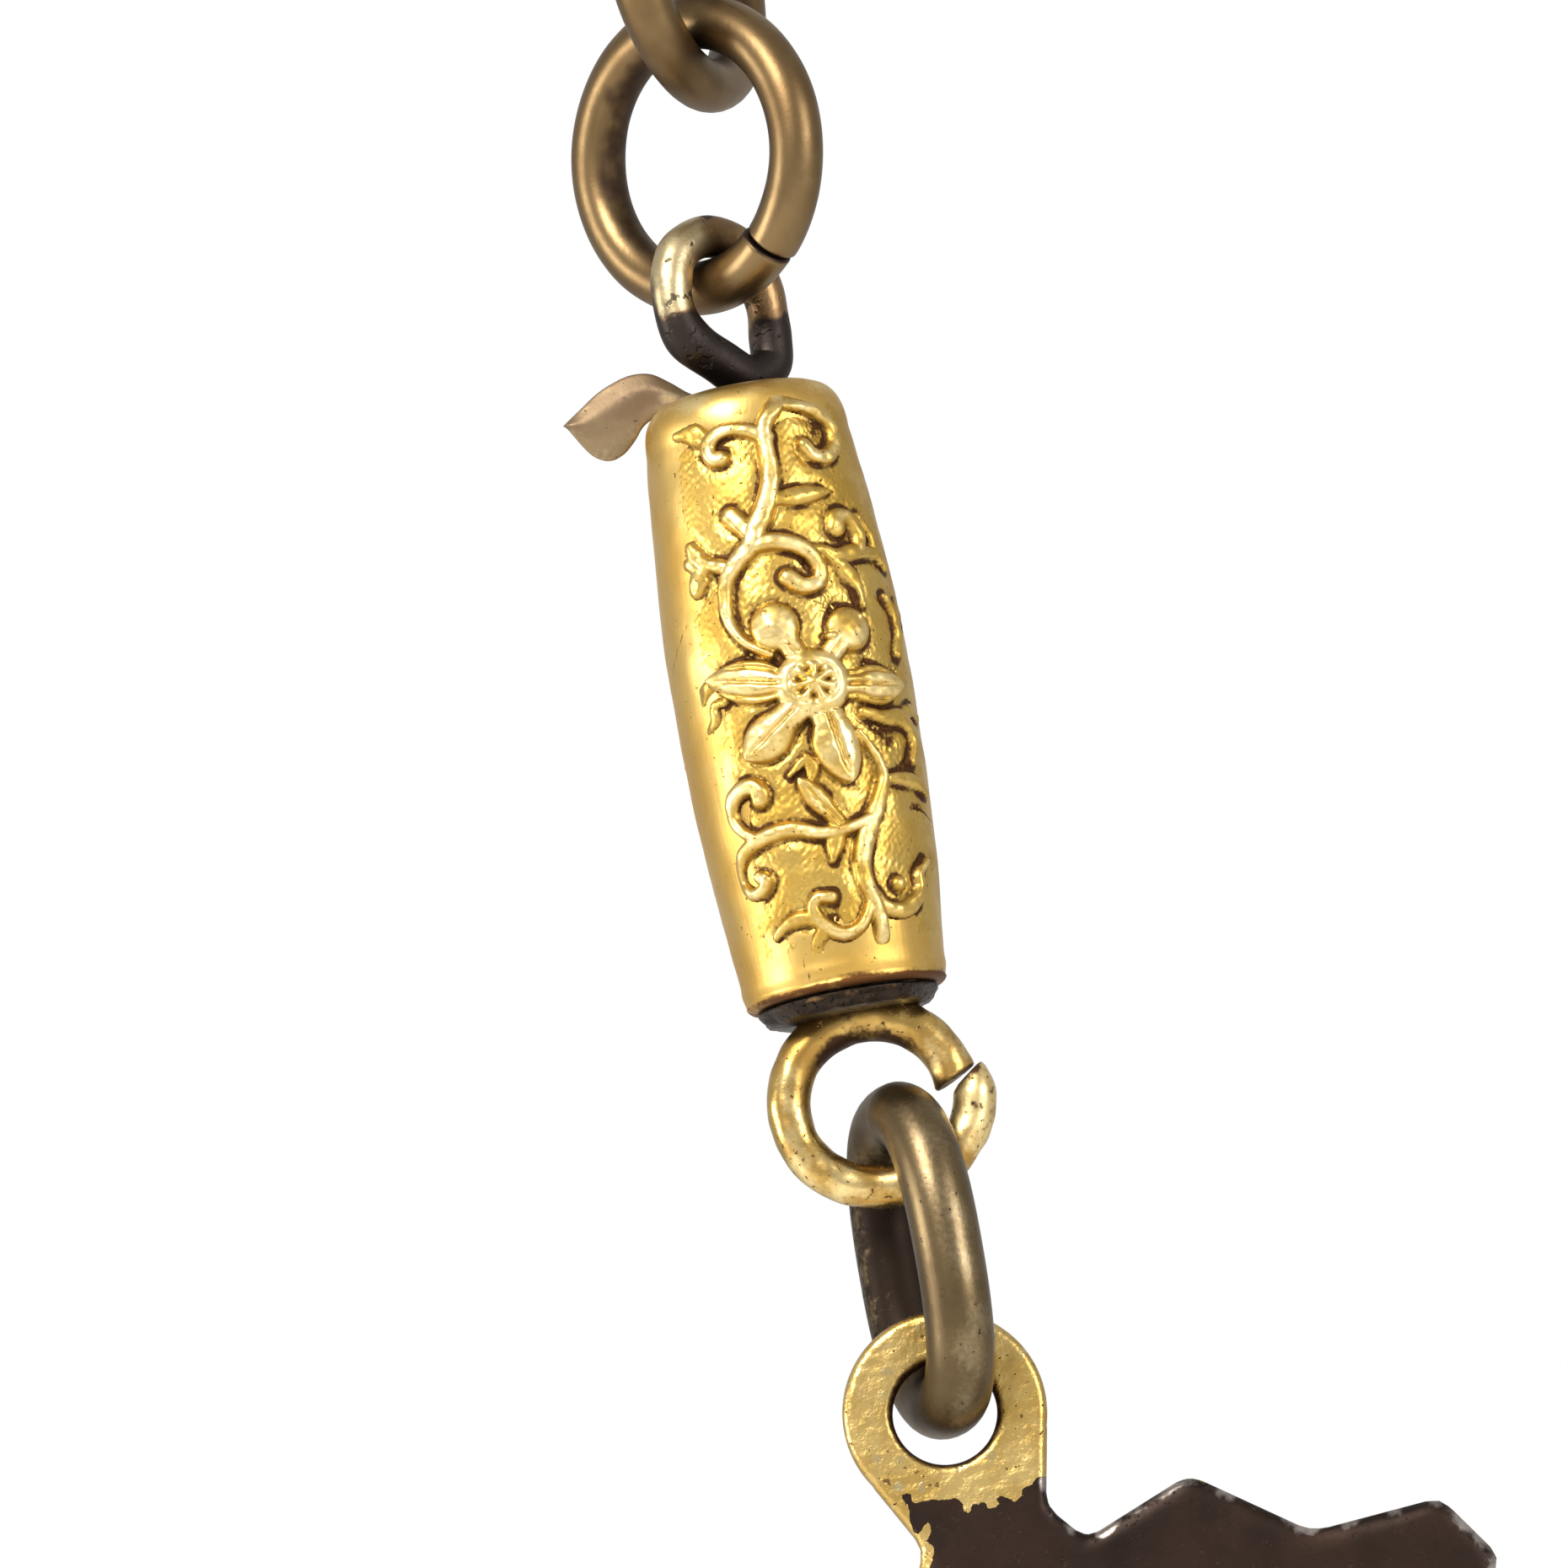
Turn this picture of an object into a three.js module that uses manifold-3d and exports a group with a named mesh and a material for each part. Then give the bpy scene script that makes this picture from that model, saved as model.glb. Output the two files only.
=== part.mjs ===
// Lower end of a gentleman's pocket watch chain: five round rings, a barrel catch that pulls
// apart, a swivelling end ring, an oval link and a leaf plaque. Millimetres, +Z up.
// Everything is built round the barrel's axis with z = 0 at the barrel's top, and the last
// group moves the point that holds the chain, inside the top of the first ring, to the origin.
import * as THREE from 'three';
import { mergeVertices } from 'three/addons/utils/BufferGeometryUtils.js';
import Module from 'manifold-3d';

const wasm = await Module();
wasm.setup();

// ---- driving dimensions -------------------------------------------------------------------
const RUN = 0.04;               // running clearance between pieces that move on each other
const REST = 0.05;              // gap between pieces that are soldered or pressed together
const WIRE_SIDES = 10;
const LOOP_STEPS = 36;

// chain rings
const RING_COUNT = 5;
const RING_R = 2.95;            // to the middle of the wire
const RING_WIRE = 1.2;
const LAST_RING_YAW = -41;      // degrees; each ring above is turned across the one below it
const NEXT_RING_YAW = 68;
const UPPER_LEAN = -20;         // where the last ring hangs on the one above, degrees from its lowest point
const LOWER_LEAN = 18;          // and degrees from its own highest point

// wire eye
const EYE_WIRE = 0.93;
const EYE_HALF_WIDTH = 1.285;   // to the middle of the wire
const EYE_HEIGHT = 3.64;        // highest wire middle above the barrel
const EYE_YAW = 39;
const EYE_SHIFT = -0.07;        // the eye's middle, along X
const EYE_BASE_SHIFT = 0.52;    // how far its base stands off towards the right, in its own plane

// barrel
const BARREL_LENGTH = 13.62;
const BARREL_TOP_R = 1.45;
const BARREL_SHOULDER_R = 2.23;
const BARREL_SHOULDER = 1.1;    // height of the domed shoulder
const BARREL_BELLY_R = 2.64;
const BARREL_BELLY = 6.8;       // distance of the widest place below the top
const BARREL_FOOT_R = 2.17;
const BARREL_CHAMFER = 0.1;
const BARREL_WALL = 0.55;
const LIP_R = 1.36;             // opening in the top
const LIP_DEPTH = 0.7;
const BUSH_SEAT_R = 1.72;
const BUSH_LENGTH = 1.1;
const BUSH_SLOT_X = 2.5;
const BUSH_SLOT_Y = 1.9;

// tongue and its spring
const TONGUE_LENGTH = 7.6;
const TONGUE_WIDTH = 1.5;
const TONGUE_THICKNESS = 0.45;
const TONGUE_X = 0.35;
const FOOT_HEIGHT = 0.5;
const SPRING_THICKNESS = 0.28;
const SPRING_TOP_X = -0.9;
const CATCH_X = -1.5;           // edge of the step that holds under the guide bush
const CATCH_HEIGHT = 0.6;
const RIVET_R = 0.3;
const RIVET_HEAD_R = 0.5;
const RIVET_HEAD = 0.2;

// thumb leaf
const LEAF_THICKNESS = 0.35;
const LEAF_Y = 0.35;            // its near face behind the barrel's axis

// swivel
const FOOT_BUSH_LENGTH = 1.0;
const FOOT_BUSH_INSET = 0.12;
const POST_R = 0.58;
const WASHER_R = 1.15;
const WASHER_THICKNESS = 0.35;
const PLUG_TOP_R = 2.0;
const PLUG_FOOT_R = 1.72;
const PLUG_HEIGHT = 0.36;
const END_RING_R = 1.86;
const END_RING_WIRE = 0.95;
const END_RING_X = 0.15;
const END_RING_SINK = 0.475;    // how much of the ring's wire is filed away under the plug
const END_RING_GAP_FROM = 3;    // the cut in the ring, degrees above the right-hand side
const END_RING_GAP_TO = 6.5;
const END_RING_SPREAD = 0.38;   // how far the lower end is sprung outwards
const END_RING_SPREAD_FROM = 0.68;   // share of the wire's length past which it springs out

// oval link
const LINK_WIRE = 1.5;
const LINK_HALF_LENGTH = 3.2;   // to the middle of the wire
const LINK_HALF_WIDTH = 1.85;
const LINK_YAW = -70;
const LINK_X = 0.55;
const LINK_SQUARENESS = 2.4;    // exponent of the superellipse
const LINK_SLACK = 0.15;        // play between the link and the end ring

// plaque
const PLAQUE_THICKNESS = 0.8;
const PLAQUE_EYE_R = 2.23;
const PLAQUE_HOLE_R = 1.11;
const PLAQUE_X = 0.48;
const PLAQUE_TILT = 9;
const PLAQUE_NECK_SLOPE = 20;   // the neck's sides leave the eye straight, this much off its midrib
const PLAQUE_SLACK = 0.08;      // play between the plaque's eye and the link
// one half of the leaf's outline: out from the midrib, and down from the middle of its eye
const PLAQUE_HALF = [
  [1.41, 2.65], [2.0, 3.61], [4.56, 3.02], [6.68, 5.07], [9.55, 5.29], [10.35, 6.93],
  [9.3, 8.2], [10.6, 9.3], [9.2, 11.0], [7.3, 10.9], [7.6, 12.6], [5.6, 13.2], [4.2, 12.5],
  [3.6, 14.4], [1.7, 14.0],
];
const PLAQUE_LENGTH = 16.2;

// ---- materials ----------------------------------------------------------------------------
function metal(colour, roughness) {
  return new THREE.MeshStandardMaterial({ color: colour, roughness, metalness: 1 });
}

const AGED_BRASS = metal(0x8a6a36, 0.4);
const GOLD = metal(0xd9a93a, 0.3);
const DARK_GOLD = metal(0xa07c34, 0.35);
const BLACKENED = metal(0x2b2420, 0.55);
const STEEL = metal(0x8d8b86, 0.4);
const BROWN_PLATE = metal(0x4a3630, 0.5);
const ROSE_BROWN = metal(0xa88560, 0.55);

// ---- helpers ------------------------------------------------------------------------------
const model = new THREE.Group();
const radians = THREE.MathUtils.degToRad;

function add(name, geometry, material, position = [0, 0, 0], yaw = 0) {
  const mesh = new THREE.Mesh(geometry, material);
  mesh.name = name;
  mesh.position.set(...position);
  mesh.rotation.set(0, 0, radians(yaw));
  model.add(mesh);
  return mesh;
}

// A curve in the XZ plane given by a function of t from 0 to 1.
class PlaneCurve extends THREE.Curve {
  constructor(place) {
    super();
    this.place = place;
  }

  getPoint(t, target = new THREE.Vector3()) {
    const [x, z] = this.place(t);
    return target.set(x, 0, z);
  }
}

function closedWire(place, wire, steps = LOOP_STEPS) {
  return new THREE.TubeGeometry(new PlaneCurve(place), steps, wire / 2, WIRE_SIDES, true);
}

function openWire(place, wire, steps = LOOP_STEPS) {
  const section = new THREE.Shape().absarc(0, 0, wire / 2, 0, 2 * Math.PI);
  return new THREE.ExtrudeGeometry(section, {
    curveSegments: WIRE_SIDES,
    steps,
    bevelEnabled: false,
    extrudePath: new PlaneCurve(place),
  });
}

// A piece turned about Z from points of radius and height; the profile closes on itself.
function turned(points, segments = 32) {
  const profile = [...points, points[0]].map(([radius, z]) => new THREE.Vector2(radius, z));
  const geometry = new THREE.LatheGeometry(profile, segments);
  geometry.rotateX(Math.PI / 2);
  return geometry;
}

function disc(radius, top, height, segments = 24) {
  const geometry = new THREE.CylinderGeometry(radius, radius, height, segments);
  geometry.rotateX(Math.PI / 2);
  geometry.translate(0, 0, top - height / 2);
  return geometry;
}

function block(x, y, z, width, depth, height) {
  const geometry = new THREE.BoxGeometry(width, depth, height);
  geometry.translate(x, y, z);
  return geometry;
}

// A flat outline in the XZ plane, extruded along Y from y to y + thickness.
function plate(shape, y, thickness, curveSegments = 6) {
  const geometry = new THREE.ExtrudeGeometry(shape, {
    depth: thickness, curveSegments, bevelEnabled: false,
  });
  geometry.rotateX(Math.PI / 2);
  geometry.translate(0, y + thickness, 0);
  return geometry;
}

function solid(geometry) {
  const bare = geometry.clone();
  bare.deleteAttribute('normal');
  bare.deleteAttribute('uv');
  const merged = mergeVertices(bare, 1e-4);
  return new wasm.Manifold(new wasm.Mesh({
    numProp: 3,
    vertProperties: new Float32Array(merged.attributes.position.array),
    triVerts: new Uint32Array(merged.index.array),
  }));
}

function cut(geometry, ...tools) {
  let body = solid(geometry);
  for (const tool of tools) {
    body = body.subtract(solid(tool));
  }
  const { vertProperties, triVerts } = body.getMesh();
  const result = new THREE.BufferGeometry();
  result.setAttribute('position', new THREE.BufferAttribute(vertProperties, 3));
  result.setIndex(new THREE.BufferAttribute(triVerts, 1));
  result.computeVertexNormals();
  return result;
}

// ---- barrel -------------------------------------------------------------------------------
// Outer radius at a distance below the top: a domed shoulder, then a long barrel curve.
function barrelRadius(down) {
  if (down < BARREL_SHOULDER) {
    const rise = 1 - down / BARREL_SHOULDER;
    const dome = Math.sqrt(1 - rise ** 3);
    return BARREL_TOP_R + (BARREL_SHOULDER_R - BARREL_TOP_R) * dome;
  }
  if (down < BARREL_BELLY) {
    const share = (BARREL_BELLY - down) / (BARREL_BELLY - BARREL_SHOULDER);
    return BARREL_BELLY_R - (BARREL_BELLY_R - BARREL_SHOULDER_R) * share ** 2;
  }
  const share = (down - BARREL_BELLY) / (BARREL_LENGTH - BARREL_BELLY);
  return BARREL_BELLY_R - (BARREL_BELLY_R - BARREL_FOOT_R) * share ** 2;
}

const BUSH_TOP = LIP_DEPTH + REST;
const BUSH_FOOT = BUSH_TOP + BUSH_LENGTH;
const FOOT_BORE_R = BARREL_FOOT_R - BARREL_WALL;
const FOOT_BUSH_FOOT = BARREL_LENGTH - FOOT_BUSH_INSET;
const FOOT_BUSH_TOP = FOOT_BUSH_FOOT - FOOT_BUSH_LENGTH;

function barrelSleeve() {
  const outer = [0, 0.06, 0.2, 0.45, 0.75].map((share) => share * BARREL_SHOULDER);
  const long = BARREL_LENGTH - BARREL_CHAMFER - BARREL_SHOULDER;
  for (let i = 0; i <= 10; i += 1) {
    outer.push(BARREL_SHOULDER + long * i / 10);
  }
  const points = outer.map((down) => [barrelRadius(down), -down]);
  points.push([BARREL_FOOT_R - BARREL_CHAMFER, -BARREL_LENGTH]);
  points.push([FOOT_BORE_R, -BARREL_LENGTH]);
  points.push([FOOT_BORE_R, -FOOT_BUSH_TOP]);
  const chamber = FOOT_BUSH_TOP - BUSH_FOOT;
  for (const share of [0.8, 0.6, 0.4, 0.2]) {
    const down = BUSH_FOOT + chamber * share;
    points.push([Math.max(FOOT_BORE_R, barrelRadius(down) - BARREL_WALL), -down]);
  }
  points.push([BUSH_SEAT_R, -BUSH_FOOT]);
  points.push([BUSH_SEAT_R, -LIP_DEPTH]);
  points.push([LIP_R, -LIP_DEPTH]);
  points.push([LIP_R, 0]);
  return turned(points.reverse());
}

add('barrel_sleeve', barrelSleeve(), GOLD);

const bushSlot = block(0, 0, -(BUSH_TOP + BUSH_FOOT) / 2, BUSH_SLOT_X, BUSH_SLOT_Y, 2 * BUSH_LENGTH);
add('guide_bush', cut(disc(BUSH_SEAT_R - REST, -BUSH_TOP, BUSH_LENGTH), bushSlot), DARK_GOLD);

const footBore = disc(POST_R + RUN, -FOOT_BUSH_TOP + 1, FOOT_BUSH_LENGTH + 2);
add('foot_bush', cut(disc(FOOT_BORE_R - REST, -FOOT_BUSH_TOP, FOOT_BUSH_LENGTH), footBore), DARK_GOLD);

// ---- wire eye, its foot, the tongue and its spring ---------------------------------------
const EYE_BASE = REST + EYE_WIRE / 2 - 0.1;   // height of the wire's middle at the base

function eyePath() {
  const base = EYE_BASE_SHIFT;
  const half = EYE_HALF_WIDTH;
  const round = EYE_HEIGHT - half;
  const points = [
    [base - 0.1, EYE_BASE],
    [base - 0.8, EYE_BASE + 0.38],
    [-0.85 * half, 0.6 * round],
    [-half, round - 0.05],
    [-0.71 * half, round + 0.71 * half],
    [0, EYE_HEIGHT],
    [0.71 * half, round + 0.71 * half],
    [half, round - 0.05],
    [0.98 * half, 0.55 * round],
    [base + 0.6, EYE_BASE + 0.28],
  ];
  const curve = new THREE.CatmullRomCurve3(
    points.map(([x, z]) => new THREE.Vector3(x, 0, z)), true, 'centripetal',
  );
  return (t) => {
    const point = curve.getPoint(t);
    return [point.x, point.z];
  };
}

add('eye_loop', closedWire(eyePath(), EYE_WIRE, 40), AGED_BRASS, [EYE_SHIFT, 0, 0], EYE_YAW);

const FOOT_TOP = EYE_BASE - EYE_WIRE / 2 - REST;
const FOOT_FOOT = FOOT_TOP - FOOT_HEIGHT;
const TONGUE_TOP = FOOT_FOOT - REST;
const TONGUE_FOOT = TONGUE_TOP - TONGUE_LENGTH;
add('eye_foot', block(TONGUE_X, 0, FOOT_TOP - FOOT_HEIGHT / 2, 0.9, TONGUE_WIDTH * 0.6, FOOT_HEIGHT), BLACKENED);

const tongueMiddle = (TONGUE_TOP + TONGUE_FOOT) / 2;
const rivetHeight = TONGUE_FOOT + 2 * RIVET_HEAD_R;
const rivetHole = disc(RIVET_R + REST, 2, 4, 16);
rivetHole.rotateY(Math.PI / 2);
rivetHole.translate(0, 0, rivetHeight);
add('tongue_plate', cut(
  block(TONGUE_X, 0, tongueMiddle, TONGUE_THICKNESS, TONGUE_WIDTH, TONGUE_LENGTH), rivetHole,
), DARK_GOLD);

// The spring lies against the tongue's foot, then leans away from it up to the thumb leaf. A
// step on its outside catches under the guide bush until the leaf is pressed.
const SPRING_TOP = -BUSH_TOP;
const SPRING_FOOT_X = TONGUE_X - TONGUE_THICKNESS / 2 - REST - SPRING_THICKNESS;
const BEND_HEIGHT = rivetHeight + 2 * RIVET_HEAD_R;

// Middle of the leaning blade at a height.
function bladeX(z) {
  const footX = SPRING_FOOT_X + SPRING_THICKNESS / 2;
  return footX + (SPRING_TOP_X - footX) * (z - BEND_HEIGHT) / (SPRING_TOP - BEND_HEIGHT);
}

function springBlade() {
  const catchTop = -BUSH_FOOT - REST;
  const catchFoot = catchTop - CATCH_HEIGHT;
  const shape = new THREE.Shape();
  shape.moveTo(SPRING_FOOT_X, TONGUE_FOOT);
  shape.lineTo(SPRING_FOOT_X + SPRING_THICKNESS, TONGUE_FOOT);
  shape.lineTo(SPRING_FOOT_X + SPRING_THICKNESS, BEND_HEIGHT);
  shape.lineTo(SPRING_TOP_X + SPRING_THICKNESS / 2, SPRING_TOP);
  shape.lineTo(SPRING_TOP_X - SPRING_THICKNESS / 2, SPRING_TOP);
  shape.lineTo(bladeX(catchTop) - SPRING_THICKNESS / 2, catchTop);
  shape.lineTo(CATCH_X, catchTop);
  shape.lineTo(bladeX(catchFoot) - SPRING_THICKNESS / 2, catchFoot);
  shape.lineTo(SPRING_FOOT_X, BEND_HEIGHT);
  shape.closePath();
  return plate(shape, -TONGUE_WIDTH / 2, TONGUE_WIDTH);
}

add('spring_blade', cut(springBlade(), rivetHole), STEEL);

const RIVET_FROM = SPRING_FOOT_X - REST;
const RIVET_TO = TONGUE_X + TONGUE_THICKNESS / 2 + REST;
function springRivet() {
  const points = [
    [0, RIVET_FROM - RIVET_HEAD], [RIVET_HEAD_R, RIVET_FROM - RIVET_HEAD], [RIVET_HEAD_R, RIVET_FROM],
    [RIVET_R, RIVET_FROM], [RIVET_R, RIVET_TO], [RIVET_HEAD_R, RIVET_TO],
    [RIVET_HEAD_R, RIVET_TO + RIVET_HEAD], [0, RIVET_TO + RIVET_HEAD],
  ].map(([radius, z]) => new THREE.Vector2(radius, z));
  const geometry = new THREE.LatheGeometry(points, 16);
  geometry.rotateZ(-Math.PI / 2);
  geometry.translate(0, 0, rivetHeight);
  return geometry;
}

add('spring_rivet', springRivet(), STEEL);

function thumbLeaf() {
  const shape = new THREE.Shape();
  shape.moveTo(-1.12, SPRING_TOP + REST);
  shape.lineTo(-1.12, 0.0);
  shape.quadraticCurveTo(-1.3, 0.06, -1.5, 0.02);
  shape.quadraticCurveTo(-2.0, -0.05, -2.19, -0.2);
  shape.bezierCurveTo(-2.4, -0.35, -2.7, -0.83, -3.07, -0.83);
  shape.quadraticCurveTo(-3.4, -0.8, -3.9, 0.13);
  shape.bezierCurveTo(-3.4, 0.75, -2.5, 0.85, -1.93, 0.81);
  shape.bezierCurveTo(-1.4, 0.75, -1.2, 0.1, -0.48, 0.1);
  shape.lineTo(-0.48, SPRING_TOP + REST);
  shape.closePath();
  return plate(shape, LEAF_Y, LEAF_THICKNESS, 5);
}

add('thumb_leaf', thumbLeaf(), ROSE_BROWN);

// ---- swivel -------------------------------------------------------------------------------
const PLUG_TOP = -BARREL_LENGTH - RUN;
const PLUG_FOOT = PLUG_TOP - PLUG_HEIGHT;
const WASHER_FOOT = -FOOT_BUSH_TOP + RUN;
const POST_TOP = WASHER_FOOT + WASHER_THICKNESS;

add('swivel_plug', turned([
  [0, PLUG_FOOT], [PLUG_FOOT_R, PLUG_FOOT], [PLUG_TOP_R, PLUG_TOP], [0, PLUG_TOP],
]), BLACKENED);
add('swivel_post', disc(POST_R, POST_TOP, POST_TOP - PLUG_TOP - REST), STEEL);
const washerHole = disc(POST_R + REST, POST_TOP + 1, WASHER_THICKNESS + 2);
add('swivel_washer', cut(disc(WASHER_R, POST_TOP, WASHER_THICKNESS), washerHole), STEEL);

// The end ring is bent from wire, left open on its right, and filed flat where it is soldered.
const END_RING_Z = PLUG_FOOT - REST + END_RING_SINK - END_RING_WIRE / 2 - END_RING_R;

function endRing() {
  const from = radians(END_RING_GAP_TO);
  const turn = 2 * Math.PI - radians(END_RING_GAP_TO - END_RING_GAP_FROM);
  const wire = openWire((t) => {
    const angle = from + turn * t;
    const radius = END_RING_R + END_RING_SPREAD * THREE.MathUtils.smoothstep(t, END_RING_SPREAD_FROM, 1);
    return [END_RING_X + radius * Math.cos(angle), END_RING_Z + radius * Math.sin(angle)];
  }, END_RING_WIRE);
  const above = block(END_RING_X, 0, PLUG_FOOT - REST + 5, 10, 10, 10);
  return cut(wire, above);
}

add('end_ring', endRing(), GOLD);

// ---- oval link ----------------------------------------------------------------------------
const reach = LINK_X - END_RING_X;
const linkSeat = END_RING_Z - Math.sqrt(END_RING_R ** 2 - reach ** 2);
const linkTop = linkSeat + (END_RING_WIRE + LINK_WIRE) / 2 + LINK_SLACK;
const LINK_Z = linkTop - LINK_HALF_LENGTH;

function ovalPath(t) {
  const power = 2 / LINK_SQUARENESS;
  const angle = 2 * Math.PI * t;
  const side = Math.cos(angle);
  const up = Math.sin(angle);
  return [
    LINK_HALF_WIDTH * Math.sign(side) * Math.abs(side) ** power,
    LINK_HALF_LENGTH * Math.sign(up) * Math.abs(up) ** power,
  ];
}

add('oval_link', closedWire(ovalPath, LINK_WIRE, 40), AGED_BRASS, [LINK_X, 0, LINK_Z], LINK_YAW);

// ---- plaque -------------------------------------------------------------------------------
// How much higher the inside of the link's lower end is at a sideways reach than at its middle.
function linkRise(sideways) {
  const step = 1e-3;
  const inside = (t) => {
    const [x, z] = ovalPath(t);
    const [nextX, nextZ] = ovalPath(t + step);
    const length = Math.hypot(nextX - x, nextZ - z);
    return [x - (nextZ - z) / length * LINK_WIRE / 2, z + (nextX - x) / length * LINK_WIRE / 2];
  };
  let t = 0.75;
  while (t < 1 && inside(t)[0] < sideways) {
    t += step;
  }
  return inside(t)[1] + LINK_HALF_LENGTH - LINK_WIRE / 2;
}

const acrossLink = PLAQUE_THICKNESS / 2 / Math.cos(radians(90 + LINK_YAW));
const PLAQUE_Z = LINK_Z - LINK_HALF_LENGTH + LINK_WIRE / 2 + linkRise(acrossLink)
  + PLAQUE_SLACK - PLAQUE_HOLE_R;

function plaque() {
  const slope = radians(PLAQUE_NECK_SLOPE);
  const shape = new THREE.Shape();
  shape.moveTo(PLAQUE_EYE_R * Math.cos(slope), -PLAQUE_EYE_R * Math.sin(slope));
  shape.absarc(0, 0, PLAQUE_EYE_R, -slope, Math.PI + slope, false);
  for (const [out, down] of PLAQUE_HALF) {
    shape.lineTo(-out, -down);
  }
  shape.lineTo(0, -PLAQUE_LENGTH);
  for (const [out, down] of [...PLAQUE_HALF].reverse()) {
    shape.lineTo(out, -down);
  }
  shape.closePath();
  shape.holes.push(new THREE.Path().absarc(0, 0, PLAQUE_HOLE_R, 0, 2 * Math.PI, true));
  const geometry = plate(shape, -PLAQUE_THICKNESS / 2, PLAQUE_THICKNESS, 28);
  geometry.rotateY(radians(-PLAQUE_TILT));
  return geometry;
}

add('plaque', plaque(), BROWN_PLATE, [PLAQUE_X, 0, PLAQUE_Z]);

// ---- chain rings --------------------------------------------------------------------------
function across(yaw) {
  return new THREE.Vector3(Math.cos(radians(yaw)), Math.sin(radians(yaw)), 0);
}

// How far a ring's middle lies from the middle of the ring it hangs on. They touch at the upper
// ring's lean from its lowest point and the lower ring's lean from its highest point.
function hangOffset(upperYaw, lowerYaw, upperLean, lowerLean) {
  const up = new THREE.Vector3(0, 0, 1);
  const upperOut = across(upperYaw).multiplyScalar(Math.sin(radians(upperLean)))
    .addScaledVector(up, -Math.cos(radians(upperLean)));
  const upperAlong = across(upperYaw).multiplyScalar(Math.cos(radians(upperLean)))
    .addScaledVector(up, Math.sin(radians(upperLean)));
  const lowerOut = across(lowerYaw).multiplyScalar(Math.sin(radians(lowerLean)))
    .addScaledVector(up, Math.cos(radians(lowerLean)));
  const lowerAlong = across(lowerYaw).multiplyScalar(Math.cos(radians(lowerLean)))
    .addScaledVector(up, -Math.sin(radians(lowerLean)));
  const push = upperAlong.clone().cross(lowerAlong).normalize();
  push.multiplyScalar(push.z < 0 ? -(RING_WIRE + RUN) : RING_WIRE + RUN);
  return upperOut.multiplyScalar(RING_R).add(push).addScaledVector(lowerOut, -RING_R);
}

// The last ring hangs the eye by its lowest point.
const LAST_RING_Z = EYE_HEIGHT - (EYE_WIRE + RING_WIRE) / 2 - RUN + RING_R;
const ringCentre = new THREE.Vector3(0.02, 0, LAST_RING_Z);
for (let number = RING_COUNT; number >= 1; number -= 1) {
  const yaw = (RING_COUNT - number) % 2 === 0 ? LAST_RING_YAW : NEXT_RING_YAW;
  const ring = new THREE.TorusGeometry(RING_R, RING_WIRE / 2, WIRE_SIDES, LOOP_STEPS);
  ring.rotateX(Math.PI / 2);
  add(`chain_ring_${number}`, ring, AGED_BRASS, ringCentre.toArray(), yaw);
  if (number > 1) {
    const upperYaw = yaw === LAST_RING_YAW ? NEXT_RING_YAW : LAST_RING_YAW;
    const leans = number === RING_COUNT ? [UPPER_LEAN, LOWER_LEAN] : [0, 0];
    ringCentre.sub(hangOffset(upperYaw, yaw, ...leans));
  }
}

// The chain is held inside the top of the first ring, and that point is the origin.
model.position.set(-ringCentre.x, -ringCentre.y, -(ringCentre.z + RING_R - RING_WIRE / 2));

export default model;
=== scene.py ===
import bpy
import numpy as np
from mathutils import Matrix, Vector


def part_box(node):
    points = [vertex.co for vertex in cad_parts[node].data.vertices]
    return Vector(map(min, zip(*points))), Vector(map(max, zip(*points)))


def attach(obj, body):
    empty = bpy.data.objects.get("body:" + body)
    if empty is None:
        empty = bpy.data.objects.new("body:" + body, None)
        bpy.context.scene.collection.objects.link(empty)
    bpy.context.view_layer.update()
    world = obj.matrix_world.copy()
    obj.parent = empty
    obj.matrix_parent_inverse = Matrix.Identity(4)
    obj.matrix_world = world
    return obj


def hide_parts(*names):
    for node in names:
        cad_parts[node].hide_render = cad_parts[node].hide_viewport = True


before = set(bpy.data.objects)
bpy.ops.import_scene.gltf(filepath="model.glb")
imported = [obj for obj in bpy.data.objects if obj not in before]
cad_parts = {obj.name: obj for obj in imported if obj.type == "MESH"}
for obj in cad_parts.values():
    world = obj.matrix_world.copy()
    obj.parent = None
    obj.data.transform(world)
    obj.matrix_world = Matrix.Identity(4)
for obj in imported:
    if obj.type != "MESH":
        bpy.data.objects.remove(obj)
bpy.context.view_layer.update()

MM = 0.001


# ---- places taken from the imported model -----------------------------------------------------
def node_box(node):
    """Lowest and highest corner of a CAD node, and its middle, in millimetres."""
    low, high = (np.array(corner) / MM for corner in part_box(node))
    return low, high, (low + high) / 2


_, BARREL_HIGH, BARREL_MIDDLE = node_box("barrel_sleeve")
AXIS_X, AXIS_Y = BARREL_MIDDLE[:2]
BARREL_TOP = BARREL_HIGH[2]


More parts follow.
